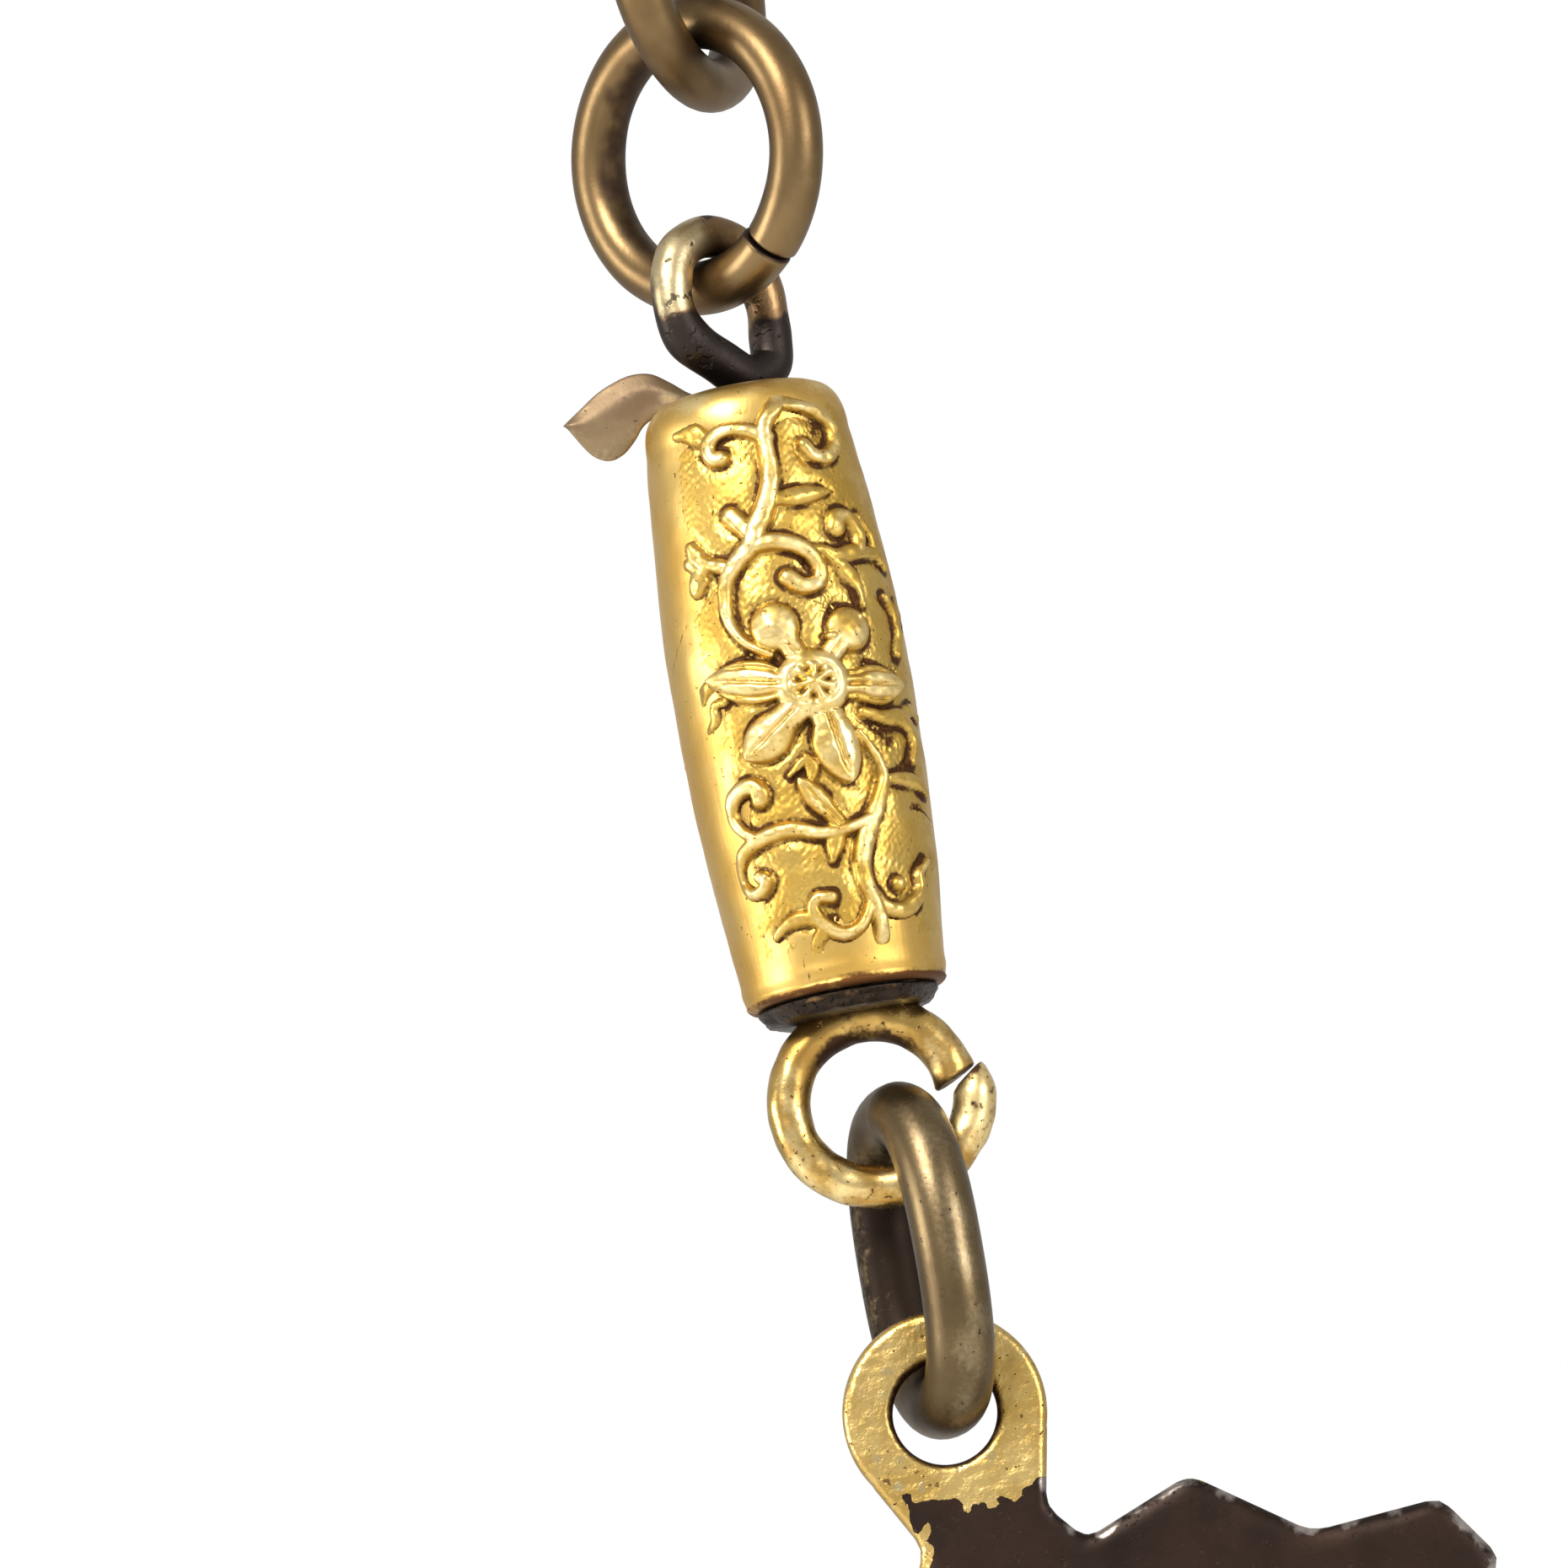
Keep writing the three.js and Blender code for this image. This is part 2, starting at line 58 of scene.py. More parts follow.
# ---- curves and small sums ------------------------------------------------------------------
def smooth_line(points, steps=12, closed=False):
    """Centripetal Catmull-Rom curve: between two points, three levels of straight mixes whose
    knots are spaced by the square root of the distance from point to point."""
    p = np.asarray(points, float)
    if closed:
        p = np.concatenate([p[-1:], p, p[:2]])
    else:
        p = np.concatenate([2 * p[:1] - p[1:2], p, 2 * p[-1:] - p[-2:-1]])
    gap = np.linalg.norm(np.diff(p, axis=0), axis=1) ** 0.5
    k1 = gap[:-2, None, None]
    k2 = k1 + gap[1:-1, None, None]
    k3 = k2 + gap[2:, None, None]
    u = (np.arange(steps) / steps)[None, :, None]
    t = k1 + (k2 - k1) * u
    p0, p1, p2, p3 = (q[:, None, :] for q in (p[:-3], p[1:-2], p[2:-1], p[3:]))
    a1 = (k1 - t) / k1 * p0 + t / k1 * p1
    a2 = (k2 - t) / (k2 - k1) * p1 + (t - k1) / (k2 - k1) * p2
    a3 = (k3 - t) / (k3 - k2) * p2 + (t - k2) / (k3 - k2) * p3
    b1 = (k2 - t) / k2 * a1 + t / k2 * a2
    b2 = (k3 - t) / (k3 - k1) * a2 + (t - k1) / (k3 - k1) * a3
    line = ((k2 - t) / (k2 - k1) * b1 + (t - k1) / (k2 - k1) * b2).reshape(-1, p.shape[1])
    return line if closed else np.concatenate([line, p[-2:-1]])


def smoothstep(low, high, value):
    """0 below low, 1 above high, and 3t^2 - 2t^3 between them."""
    t = np.clip((value - low) / (high - low), 0, 1)
    return t * t * (3 - 2 * t)


def unevenness(points, size, seed, waves=24):
    """Smooth seeded noise of about unit height: a sum of sine waves of random direction whose
    lengths lie round the given size."""
    rng = np.random.default_rng(seed)
    ways = rng.normal(size=(waves, points.shape[-1]))
    ways /= np.linalg.norm(ways, axis=1, keepdims=True)
    ways *= 2 * np.pi / (size * rng.uniform(0.7, 1.6, (waves, 1)))
    turns = rng.uniform(0, 2 * np.pi, waves)
    return np.sin(points @ ways.T + turns).sum(-1) / np.sqrt(waves / 2)


def bell(distance, width):
    """1 at no distance, falling as exp(-(d / width)^2)."""
    return np.exp(-(distance / width) ** 2)


def circle(count):
    """Angles spaced evenly once round, from 0."""
    return np.linspace(0, 2 * np.pi, count, endpoint=False)


def wire_shares(count, near_start, near_end):
    """Shares of a cut wire's length from 0 to 1: even steps, and a few more close to its ends."""
    return np.concatenate([[0, *near_start], np.linspace(0, 1, count)[1:-1], [*near_end, 1]])


# ---- meshes ---------------------------------------------------------------------------------
def signed_volume(points, faces):
    """Six times the volume inside a mesh, from the triangles of each face's fan."""
    total = 0.0
    for corners in faces:
        for step in range(1, corners.shape[1] - 1):
            a, b, c = points[corners[:, 0]], points[corners[:, step]], points[corners[:, step + 1]]
            total += np.einsum("ij,ij->i", a, np.cross(b, c)).sum()
    return total


def make_piece(name, points, faces, body, material, nodes=(), marks=None):
    """A closed mesh from points in millimetres and arrays of faces with equal corner counts,
    turned so that its volume is positive, on a body, standing for CAD nodes."""
    if signed_volume(points - points.mean(0), faces) < 0:
        faces = [corners[:, ::-1] for corners in faces]
    mesh = bpy.data.meshes.new(name)
    corners = np.concatenate([f.ravel() for f in faces]).astype(np.int32)
    counts = np.concatenate([np.full(len(f), f.shape[1]) for f in faces])
    mesh.vertices.add(len(points))
    mesh.vertices.foreach_set("co", (points * MM).astype(np.float32).ravel())
    mesh.loops.add(len(corners))
    mesh.loops.foreach_set("vertex_index", corners)
    mesh.polygons.add(len(counts))
    starts = np.concatenate([[0], np.cumsum(counts)[:-1]]).astype(np.int32)
    mesh.polygons.foreach_set("loop_start", starts)
    mesh.update(calc_edges=True)
    mesh.validate()
    mesh.shade_smooth()
    for mark, values in (marks or {}).items():
        attribute = mesh.attributes.new(mark, "FLOAT", "POINT")
        attribute.data.foreach_set("value", np.clip(values, 0, 1).astype(np.float32).ravel())
    mesh.materials.append(material)
    piece = bpy.data.objects.new(name, mesh)
    bpy.context.scene.collection.objects.link(piece)
    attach(piece, body)
    if nodes:
        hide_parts(*nodes)
    return piece


def skin(rows, closed):
    """Points and faces of a tube whose rows are rings of points. Rows join in a circle if the
    tube is closed; otherwise a fan to the middle of the end ring shuts each end."""
    count, around = rows.shape[:2]
    index = np.arange(count * around).reshape(count, around)
    last = count if closed else count - 1
    here = index[:last]
    there = np.roll(index, -1, axis=0)[:last]
    quads = np.stack([here, np.roll(here, -1, 1), np.roll(there, -1, 1), there], -1).reshape(-1, 4)
    points = rows.reshape(-1, 3)
    if closed:
        return points, [quads]
    first, end = count * around, count * around + 1
    points = np.concatenate([points, rows[:1].mean(1), rows[-1:].mean(1)])
    fans = [np.stack([np.roll(index[0], -1), index[0], np.full(around, first)], -1),
            np.stack([index[-1], np.roll(index[-1], -1), np.full(around, end)], -1)]
    return points, [quads, np.concatenate(fans)]


def wire_rows(line, radius, origin, yaw, closed, around=28, offset=None):
    """Rows of a round wire bent in an upright plane: at each point of the line, a circle in the
    directions of the plane's normal and of the line's own normal in the plane. Yaw turns the
    plane about Z, and offset pushes the line out of its plane."""
    if closed:
        along = np.roll(line, -1, 0) - np.roll(line, 1, 0)
    else:
        along = np.gradient(line, axis=0)
    along /= np.linalg.norm(along, axis=1, keepdims=True)
    side = np.stack([along[:, 1], -along[:, 0]], -1)
    angle = circle(around)
    radius = np.broadcast_to(radius, len(line))[:, None]
    flat = line[:, None] + side[:, None] * (radius * np.cos(angle))[..., None]
    depth = radius * np.sin(angle) + (0 if offset is None else offset[:, None])
    turn = np.radians(yaw)
    x = flat[..., 0] * np.cos(turn) - depth * np.sin(turn)
    y = flat[..., 0] * np.sin(turn) + depth * np.cos(turn)
    return np.stack([x, y, flat[..., 1]], -1) + origin


def end_rounding(length, depth):
    """Share of the full radius along a wire: it rises from 0.86 at each end to 1, as a quarter
    ellipse of that depth."""
    from_end = np.minimum(length, length[-1] - length)
    rise = np.clip(from_end / depth, 0, 1)
    return 0.86 + 0.14 * np.sqrt(1 - (1 - rise) ** 2)


def run_length(line):
    """Distance along a line from its first point."""
    return np.concatenate([[0], np.cumsum(np.linalg.norm(np.diff(line, axis=0), axis=1))])


def shut_marks(grime_and_shade, worn, value):
    """Marks of a tube shut by fans: those of its rows, then one value at both middle points."""
    return {"grime_and_shade": np.append(grime_and_shade, [value] * 2), "worn": np.append(worn, [value] * 2)}


# ---- shading --------------------------------------------------------------------------------
def shade_group(name, inputs, outputs):
    """An empty shader node group with named sockets."""
    group = bpy.data.node_groups.new(name, "ShaderNodeTree")
    for label, kind, value in inputs:
        socket = group.interface.new_socket(name=label, in_out="INPUT", socket_type=kind)
        socket.default_value = value
    for label, kind in outputs:
        group.interface.new_socket(name=label, in_out="OUTPUT", socket_type=kind)
    return group, group.nodes.new("NodeGroupInput"), group.nodes.new("NodeGroupOutput")


def maths(tree, operation, first, second=None, clamp=False):
    """A Math node; each operand is a socket or a number."""
    node = tree.nodes.new("ShaderNodeMath")
    node.operation = operation
    node.use_clamp = clamp
    for socket, value in zip(node.inputs, (first, second)):
        if isinstance(value, bpy.types.NodeSocket):
            tree.links.new(value, socket)
        elif value is not None:
            socket.default_value = value
    return node.outputs[0]


def spread(tree, value, low, high, to_low=0.0, to_high=1.0):
    """A smooth Map Range from low..high to to_low..to_high."""
    node = tree.nodes.new("ShaderNodeMapRange")
    node.interpolation_type = "SMOOTHSTEP"
    tree.links.new(value, node.inputs["Value"])
    for label, number in (("From Min", low), ("From Max", high),
                          ("To Min", to_low), ("To Max", to_high)):
        if isinstance(number, bpy.types.NodeSocket):
            tree.links.new(number, node.inputs[label])
        else:
            node.inputs[label].default_value = number
    return node.outputs["Result"]


def blend_colour(tree, factor, under, over):
    """A colour Mix node; colours are sockets or values."""
    node = tree.nodes.new("ShaderNodeMix")
    node.data_type = "RGBA"
    tree.links.new(factor, node.inputs["Factor"])
    for label, value in (("A", under), ("B", over)):
        socket = [s for s in node.inputs if s.name == label and s.type == "RGBA"][0]
        if isinstance(value, bpy.types.NodeSocket):
            tree.links.new(value, socket)
        else:
            socket.default_value = value
    return [s for s in node.outputs if s.type == "RGBA"][0]


def noise(tree, vector, scale, detail=3.0, roughness=0.55):
    """A Noise Texture's value; scale is in cells to the metre."""
    node = tree.nodes.new("ShaderNodeTexNoise")
    tree.links.new(vector, node.inputs["Vector"])
    if isinstance(scale, bpy.types.NodeSocket):
        tree.links.new(scale, node.inputs["Scale"])
    else:
        node.inputs["Scale"].default_value = scale
    node.inputs["Detail"].default_value = detail
    node.inputs["Roughness"].default_value = roughness
    return node.outputs[0]


def stretched(tree, vector, scale):
    """The vector scaled by three numbers with a Mapping node, for marks that run one way."""
    node = tree.nodes.new("ShaderNodeMapping")
    node.inputs["Scale"].default_value = scale
    tree.links.new(vector, node.inputs["Vector"])
    return node.outputs[0]


def tarnish_group():
    """Metal colour that varies over a surface: clouds between two tones, dark specks in pits,
    the grime colour where the grime mark is high, for dirt and for painted shade alike, and
    pale bare metal where the worn mark is high."""
    group, source, target = shade_group(
        "tarnish",
        [("Vector", "NodeSocketVector", (0, 0, 0)), ("Tone", "NodeSocketColor", (1, 1, 1, 1)),
         ("Deep tone", "NodeSocketColor", (0, 0, 0, 1)), ("Grime_and_shade", "NodeSocketColor", (0, 0, 0, 1)),
         ("Worn", "NodeSocketColor", (1, 1, 1, 1)), ("Cloud scale", "NodeSocketFloat", 500.0),
         ("Speck scale", "NodeSocketFloat", 9000.0), ("Speck level", "NodeSocketFloat", 0.7),
         ("Grime_and_shade mark", "NodeSocketFloat", 0.0), ("Worn mark", "NodeSocketFloat", 0.0)],
        [("Color", "NodeSocketColor"), ("Clouds", "NodeSocketFloat"),
         ("Specks", "NodeSocketFloat"), ("Grimy_and_shaded", "NodeSocketFloat"), ("Bare", "NodeSocketFloat")],
    )
    put = source.outputs
    clouds = spread(group, noise(group, put["Vector"], put["Cloud scale"], 4.0, 0.6), 0.36, 0.64)
    fine = noise(group, put["Vector"], put["Speck scale"], 2.0, 0.5)
    high = maths(group, "ADD", put["Speck level"], 0.06)
    specks = spread(group, fine, put["Speck level"], high)
    ragged = maths(group, "MULTIPLY", maths(group, "SUBTRACT", fine, 0.5), 0.6)
    grimy_and_shaded = spread(group, maths(group, "ADD", put["Grime_and_shade mark"], ragged), 0.3, 0.75)
    bare = spread(group, maths(group, "SUBTRACT", put["Worn mark"], ragged), 0.25, 0.9)
    colour = blend_colour(group, clouds, put["Tone"], put["Deep tone"])
    colour = blend_colour(group, bare, colour, put["Worn"])
    # the grime mark darkens both real dirt and painted shade
    dirty_and_shaded = maths(group, "MAXIMUM", grimy_and_shaded, maths(group, "MULTIPLY", specks, 0.85))
    colour = blend_colour(group, dirty_and_shaded, colour, put["Grime_and_shade"])
    for label, socket in (("Color", colour), ("Clouds", clouds), ("Specks", specks),
                          ("Grimy_and_shaded", dirty_and_shaded), ("Bare", bare)):
        group.links.new(socket, target.inputs[label])
    return group


def tool_marks_group():
    """Height of a hand-finished metal surface in millimetres: fine grain, pits that sink where
    the specks are, shallow dents, and long marks on a stretched vector."""
    group, source, target = shade_group(
        "tool_marks",
        [("Vector", "NodeSocketVector", (0, 0, 0)), ("Long vector", "NodeSocketVector", (0, 0, 0)),
         ("Grain scale", "NodeSocketFloat", 12000.0), ("Grain", "NodeSocketFloat", 0.004),
         ("Dent scale", "NodeSocketFloat", 1500.0), ("Dent", "NodeSocketFloat", 0.01),
         ("Specks", "NodeSocketFloat", 0.0), ("Pit", "NodeSocketFloat", 0.01),
         ("Long scale", "NodeSocketFloat", 9000.0), ("Long mark", "NodeSocketFloat", 0.004)],
        [("Height", "NodeSocketFloat")],
    )
    put = source.outputs
    grain = noise(group, put["Vector"], put["Grain scale"], 4.0)
    height = maths(group, "MULTIPLY", grain, put["Grain"])
    dents = noise(group, put["Vector"], put["Dent scale"], 2.0)
    dents = maths(group, "MULTIPLY", dents, put["Dent"])
    long = noise(group, put["Long vector"], put["Long scale"], 3.0, 0.6)
    long = maths(group, "MULTIPLY", long, put["Long mark"])
    pits = maths(group, "MULTIPLY", put["Specks"], put["Pit"])
    height = maths(group, "ADD", maths(group, "ADD", height, dents), long)
    group.links.new(maths(group, "SUBTRACT", height, pits), target.inputs["Height"])
    return group


TARNISH = tarnish_group()
TOOL_MARKS = tool_marks_group()


def mark(tree, label):
    """The value of one of the piece's own marks."""
    node = tree.nodes.new("ShaderNodeAttribute")
    node.attribute_name = label
    return node.outputs["Fac"]


def tarnish(tree, coordinates, colours, numbers):
    """The outputs of a tarnish node with its four colours and its cloud scale, speck scale and
    speck level."""
    node = tree.nodes.new("ShaderNodeGroup")
    node.node_tree = TARNISH
    tree.links.new(coordinates, node.inputs["Vector"])
    for label, value in zip(("Tone", "Deep tone", "Grime_and_shade", "Worn"), colours):
        node.inputs[label].default_value = (*value, 1)
    for label, value in zip(("Cloud scale", "Speck scale", "Speck level"), numbers):
        node.inputs[label].default_value = value
    for label in ("grime_and_shade", "worn"):
        tree.links.new(mark(tree, label), node.inputs[f"{label.capitalize()} mark"])
    return node.outputs


def tool_marks(tree, coordinates, specks, long_way, numbers):
    """The height of a tool marks node with its grain, dents, dent scale, pits and long marks."""
    node = tree.nodes.new("ShaderNodeGroup")
    node.node_tree = TOOL_MARKS
    tree.links.new(coordinates, node.inputs["Vector"])
    tree.links.new(stretched(tree, coordinates, long_way), node.inputs["Long vector"])
    tree.links.new(specks, node.inputs["Specks"])
    for label, value in zip(("Grain", "Dent", "Dent scale", "Pit", "Long mark"), numbers):
        node.inputs[label].default_value = value
    return node.outputs["Height"]


def link_bump(tree, height, shader):
    """Links a height in millimetres to the shader's normal."""
    node = tree.nodes.new("ShaderNodeBump")
    node.inputs["Distance"].default_value = MM
    tree.links.new(height, node.inputs["Height"])
    tree.links.new(node.outputs["Normal"], shader.inputs["Normal"])


def new_material(name):
    """A new material with its node tree, its shader and the piece's own coordinates."""
    material = bpy.data.materials.new(name)
    material.use_nodes = True
    tree = material.node_tree
    coordinates = tree.nodes.new("ShaderNodeTexCoord").outputs["Object"]
    return material, tree, tree.nodes["Principled BSDF"], coordinates


def finish_metal(name, tone, deep, grime_and_shade, worn, gloss, dull, cloud=600.0, speck=8000.0,
                 speck_level=0.68, grain=0.004, dent=0.01, dent_scale=1500.0, pit=0.012,
                 long_mark=0.003, long_way=(1, 1, 0.06), metallic=1.0):
    """A metal whose colour comes from the tarnish group, and whose roughness runs from gloss on
    bare metal to dull where the grime mark, dirt and painted shade alike, is high. The grime and
    worn marks are the piece's own attributes."""
    material, tree, shader, coordinates = new_material(name)
    colour = tarnish(tree, coordinates, (tone, deep, grime_and_shade, worn), (cloud, speck, speck_level))
    tree.links.new(colour["Color"], shader.inputs["Base Color"])
    rough = spread(tree, colour["Clouds"], 0.0, 1.0, gloss, (gloss + dull) / 2)
    grimy_and_shaded = maths(tree, "MULTIPLY", colour["Grimy_and_shaded"], dull - gloss)
    rough = maths(tree, "ADD", rough, grimy_and_shaded, clamp=True)
    tree.links.new(rough, shader.inputs["Roughness"])
    height = tool_marks(tree, coordinates, colour["Specks"], long_way,
                        (grain, dent, dent_scale, pit, long_mark))
    link_bump(tree, height, shader)
    shader.inputs["Metallic"].default_value = metallic
    return material


GOLD_SMOOTH = finish_metal(
    "gold_smooth", (0.62, 0.415, 0.125), (0.52, 0.315, 0.07), (0.12, 0.05, 0.016),
    (0.74, 0.57, 0.25), gloss=0.37, dull=0.5, cloud=420, speck=9000, speck_level=0.69,
    grain=0.0022, dent=0.010, dent_scale=900, pit=0.008, long_mark=0.0035, long_way=(1, 1, 0.08))
GOLD_CHASED = finish_metal(
    "gold_chased", (0.58, 0.385, 0.095), (0.45, 0.275, 0.05), (0.075, 0.032, 0.012),
    (0.76, 0.59, 0.26), gloss=0.34, dull=0.55, cloud=900, speck=11000, speck_level=0.67,
    grain=0.003, dent=0.005, dent_scale=3200, pit=0.012, long_mark=0.0)
GOLD_RING = finish_metal(
    "gold_ring", (0.56, 0.37, 0.11), (0.36, 0.205, 0.05), (0.07, 0.037, 0.018),
    (0.74, 0.57, 0.26), gloss=0.24, dull=0.5, cloud=500, speck=8000, speck_level=0.66,
    grain=0.005, dent=0.02, dent_scale=1500, pit=0.015, long_mark=0.002)
AGED_BRASS = finish_metal(
    "aged_brass", (0.195, 0.128, 0.058), (0.14, 0.086, 0.038), (0.045, 0.027, 0.018),
    (0.34, 0.25, 0.135), gloss=0.36, dull=0.48, cloud=420, speck=1600, speck_level=0.8,
    grain=0.003, dent=0.012, dent_scale=900, pit=0.006, long_mark=0.002)
EYE_BRASS = finish_metal(
    "eye_brass", (0.27, 0.17, 0.08), (0.19, 0.11, 0.05), (0.035, 0.027, 0.023),
    (0.52, 0.415, 0.235), gloss=0.36, dull=0.45, cloud=1300, speck=2800, speck_level=0.6,
    grain=0.006, dent=0.016, dent_scale=1400, pit=0.02, long_mark=0.004)
LINK_BRASS = finish_metal(
    "link_brass", (0.145, 0.102, 0.05), (0.10, 0.068, 0.034), (0.022, 0.015, 0.011),
    (0.25, 0.19, 0.11), gloss=0.35, dull=0.5, cloud=500, speck=9000, speck_level=0.7,
    grain=0.003, dent=0.012, dent_scale=900, pit=0.01, long_mark=0.003)
BLACK_SOLDER = finish_metal(
    "black_solder", (0.05, 0.035, 0.025), (0.028, 0.02, 0.015), (0.012, 0.009, 0.008),
    (0.33, 0.19, 0.08), gloss=0.35, dull=0.6, cloud=1600, speck=9000, speck_level=0.62,
    grain=0.012, dent=0.05, dent_scale=2500, pit=0.02, long_mark=0.0)
ROSE_LEAF = finish_metal(
    "rose_leaf", (0.235, 0.165, 0.085), (0.17, 0.112, 0.06), (0.085, 0.05, 0.045),
    (0.42, 0.34, 0.205), gloss=0.42, dull=0.6, cloud=700, speck=9000, speck_level=0.7,
    grain=0.004, dent=0.015, dent_scale=1000, pit=0.006, long_mark=0.003, metallic=0.7)
GREY_STEEL = finish_metal(
    "grey_steel", (0.30, 0.29, 0.27), (0.20, 0.185, 0.165), (0.05, 0.035, 0.025),
    (0.55, 0.54, 0.52), gloss=0.3, dull=0.5, cloud=700, speck=7000, speck_level=0.66,
    grain=0.003, dent=0.008, dent_scale=1500, pit=0.01, long_mark=0.005, long_way=(1, 1, 0.1))
DULL_BRASS = finish_metal(
    "dull_brass", (0.40, 0.25, 0.09), (0.25, 0.14, 0.05), (0.05, 0.03, 0.015),
    (0.6, 0.42, 0.18), gloss=0.3, dull=0.5, cloud=900, speck=7000, speck_level=0.66,
    grain=0.004, dent=0.01, dent_scale=1500, pit=0.01, long_mark=0.005, long_way=(1, 1, 0.1))


# ---- chain rings ----------------------------------------------------------------------------
RING_WIRE_R = 0.6
RING_R = np.ptp([corner[2] for corner in node_box("chain_ring_5")[:2]]) / 2 - RING_WIRE_R
RING_YAWS = {1: -41, 2: 68, 3: -41, 4: 68, 5: -41}
RING_SEAMS = {1: 150, 2: -20, 3: 30, 4: 100, 5: -56}     # degrees round the ring
SEAM_GAP = 0.05


def chain_ring(number):
    """A ring of round wire cut at its seam: a circle run from one side of the seam to the other,
    its radius slightly uneven, with rounded cut ends."""
    node = f"chain_ring_{number}"
    middle = node_box(node)[2]
    half = SEAM_GAP / 2 / RING_R
    share = wire_shares(150, (0.0007, 0.002, 0.004), (0.996, 0.998, 0.9993))
    angle = np.radians(RING_SEAMS[number]) + half + (2 * np.pi - 2 * half) * share
    line = RING_R * np.stack([np.cos(angle), np.sin(angle)], -1)
    radius = RING_WIRE_R * end_rounding(run_length(line), 0.07)
    radius = radius * (1 + 0.008 * np.sin(3 * angle + number) + 0.006 * np.sin(7 * angle))
    near_seam = np.minimum(share, 1 - share) * 2 * np.pi * RING_R
    shift = 0.03 * np.sign(0.5 - share) * bell(near_seam, 0.6)
    rows = wire_rows(line, radius, middle, RING_YAWS[number], False, offset=shift)
    points, faces = skin(rows, False)
    # dark grime in the seam, and painted shade all round the inner side of the ring; wear on the
    # outside of the ring
    around = circle(rows.shape[1])
    grime_and_shade = 0.75 * bell(near_seam, 0.07)[:, None] + 0.62 * smoothstep(-0.1, 0.9, -np.cos(around))
    worn = 0.26 * smoothstep(0.3, 1, np.cos(around)) + 0.1 * unevenness(rows, 2.0, number)
    marks = {"grime_and_shade": np.append(grime_and_shade, [0.9, 0.9]),
             "worn": np.append(np.broadcast_to(worn, grime_and_shade.shape), [0, 0])}
    return make_piece(f"{node}_wire", points, faces, f"ring_{number}",
                      AGED_BRASS, [node], marks)


for ring_number in RING_YAWS:
    chain_ring(ring_number)


# ---- wire eye -------------------------------------------------------------------------------
EYE_YAW, EYE_ASIDE = 39, -0.07
EYE_LINE = [(0.42, 0.415), (-0.28, 0.795), (-1.09, 1.41), (-1.285, 2.305), (-0.91, 3.27),
            (0, 3.64), (0.91, 3.27), (1.285, 2.305), (1.26, 1.295), (1.12, 0.695)]


def wire_eye():
    """The eye that the last ring hangs in: a closed smooth line through its bend points, its
    wire swelling towards the foot where it was hammered and soldered."""
    origin = np.array([AXIS_X + EYE_ASIDE, AXIS_Y, BARREL_TOP])
    line = smooth_line(EYE_LINE, 16, closed=True)
    low = bell(line[:, 1] - 0.45, 0.55)
    left = line[:, 0] < 0.4
    radius = 0.465 + 0.05 * bell(line[:, 1] - 1.25, 0.45) * left + 0.03 * low
    radius += 0.008 * unevenness(line, 0.8, 5)
    rows = wire_rows(line, radius, origin, EYE_YAW, True)
    rows[..., 2] = np.maximum(rows[..., 2], BARREL_TOP - 0.06)
    points, faces = skin(rows, True)
    height = rows[..., 2] - BARREL_TOP
    around = circle(rows.shape[1])
    shade = unevenness(rows, 0.9, 6)
    # painted shade on the inner side of the loop below its top; the eye is also dark towards its
    # foot, reaching higher on its inner side
    inside = smoothstep(0.2, 1.0, -np.cos(around))
    black = smoothstep(2.25, 1.3, height + 0.16 * shade + 0.25 * np.cos(around))
    left_leg = smoothstep(0.3, -0.7, line[:, 0])[:, None] * smoothstep(1.5, 2.1, height)
    worn = left_leg * (0.8 + 0.25 * shade) + 0.25 * smoothstep(0.5, 1, np.cos(around))
    grime_and_shade = np.maximum(black, 0.55 * inside * smoothstep(3.4, 2.6, height))
    marks = {"grime_and_shade": grime_and_shade, "worn": np.where(black > 0.5, 0.0, worn)}
    return make_piece("wire_eye", points, faces, "tongue", EYE_BRASS,
                      ["eye_loop"], marks)


wire_eye()


def solder_foot():
    """The dark lump under the eye, with a small copper-coloured spot: rings of an uneven
    rounded block, wider at its top, closed by fans at both ends."""
    low, high, middle = node_box("eye_foot")
    level = np.linspace(0, 1, 26)[:, None]
    angle = circle(44)[None]
    swell = (1 - (2 * level - 1) ** 6) ** 0.5 * (0.86 + 0.14 * level)
    reach = (np.abs(np.cos(angle)) ** 4 + np.abs(np.sin(angle)) ** 4) ** -0.25
    x = middle[0] + (high[0] - low[0]) / 2 * swell * reach * np.cos(angle)
    y = middle[1] + (high[1] - low[1]) / 2 * swell * reach * np.sin(angle)
    z = low[2] + (high[2] - low[2] + 0.12) * level + 0 * angle
    rows = np.stack([x, y, z], -1)
    rows[..., :2] += 0.012 * unevenness(rows, 0.35, 8)[..., None]
    points, faces = skin(rows, False)
    copper = bell(np.linalg.norm(points - [middle[0] - 0.05, low[1], high[2]], axis=1), 0.3)
    return make_piece("solder_foot", points, faces, "tongue", BLACK_SOLDER,
                      ["eye_foot"], {"worn": copper})


solder_foot()


# ---- barrel ---------------------------------------------------------------------------------
DOME_HEIGHT, DOME_FROM, DOME_SWELL = 1.1, 1.45, 0.78
BELLY_DOWN, BELLY_R = 6.8, 2.64
UPPER_LENGTH, UPPER_LOSS = 5.7, 0.41        # dome to belly, and how much thinner the dome is
LOWER_LENGTH, LOWER_LOSS = 6.82, 0.47       # belly to foot, and how much thinner the foot is


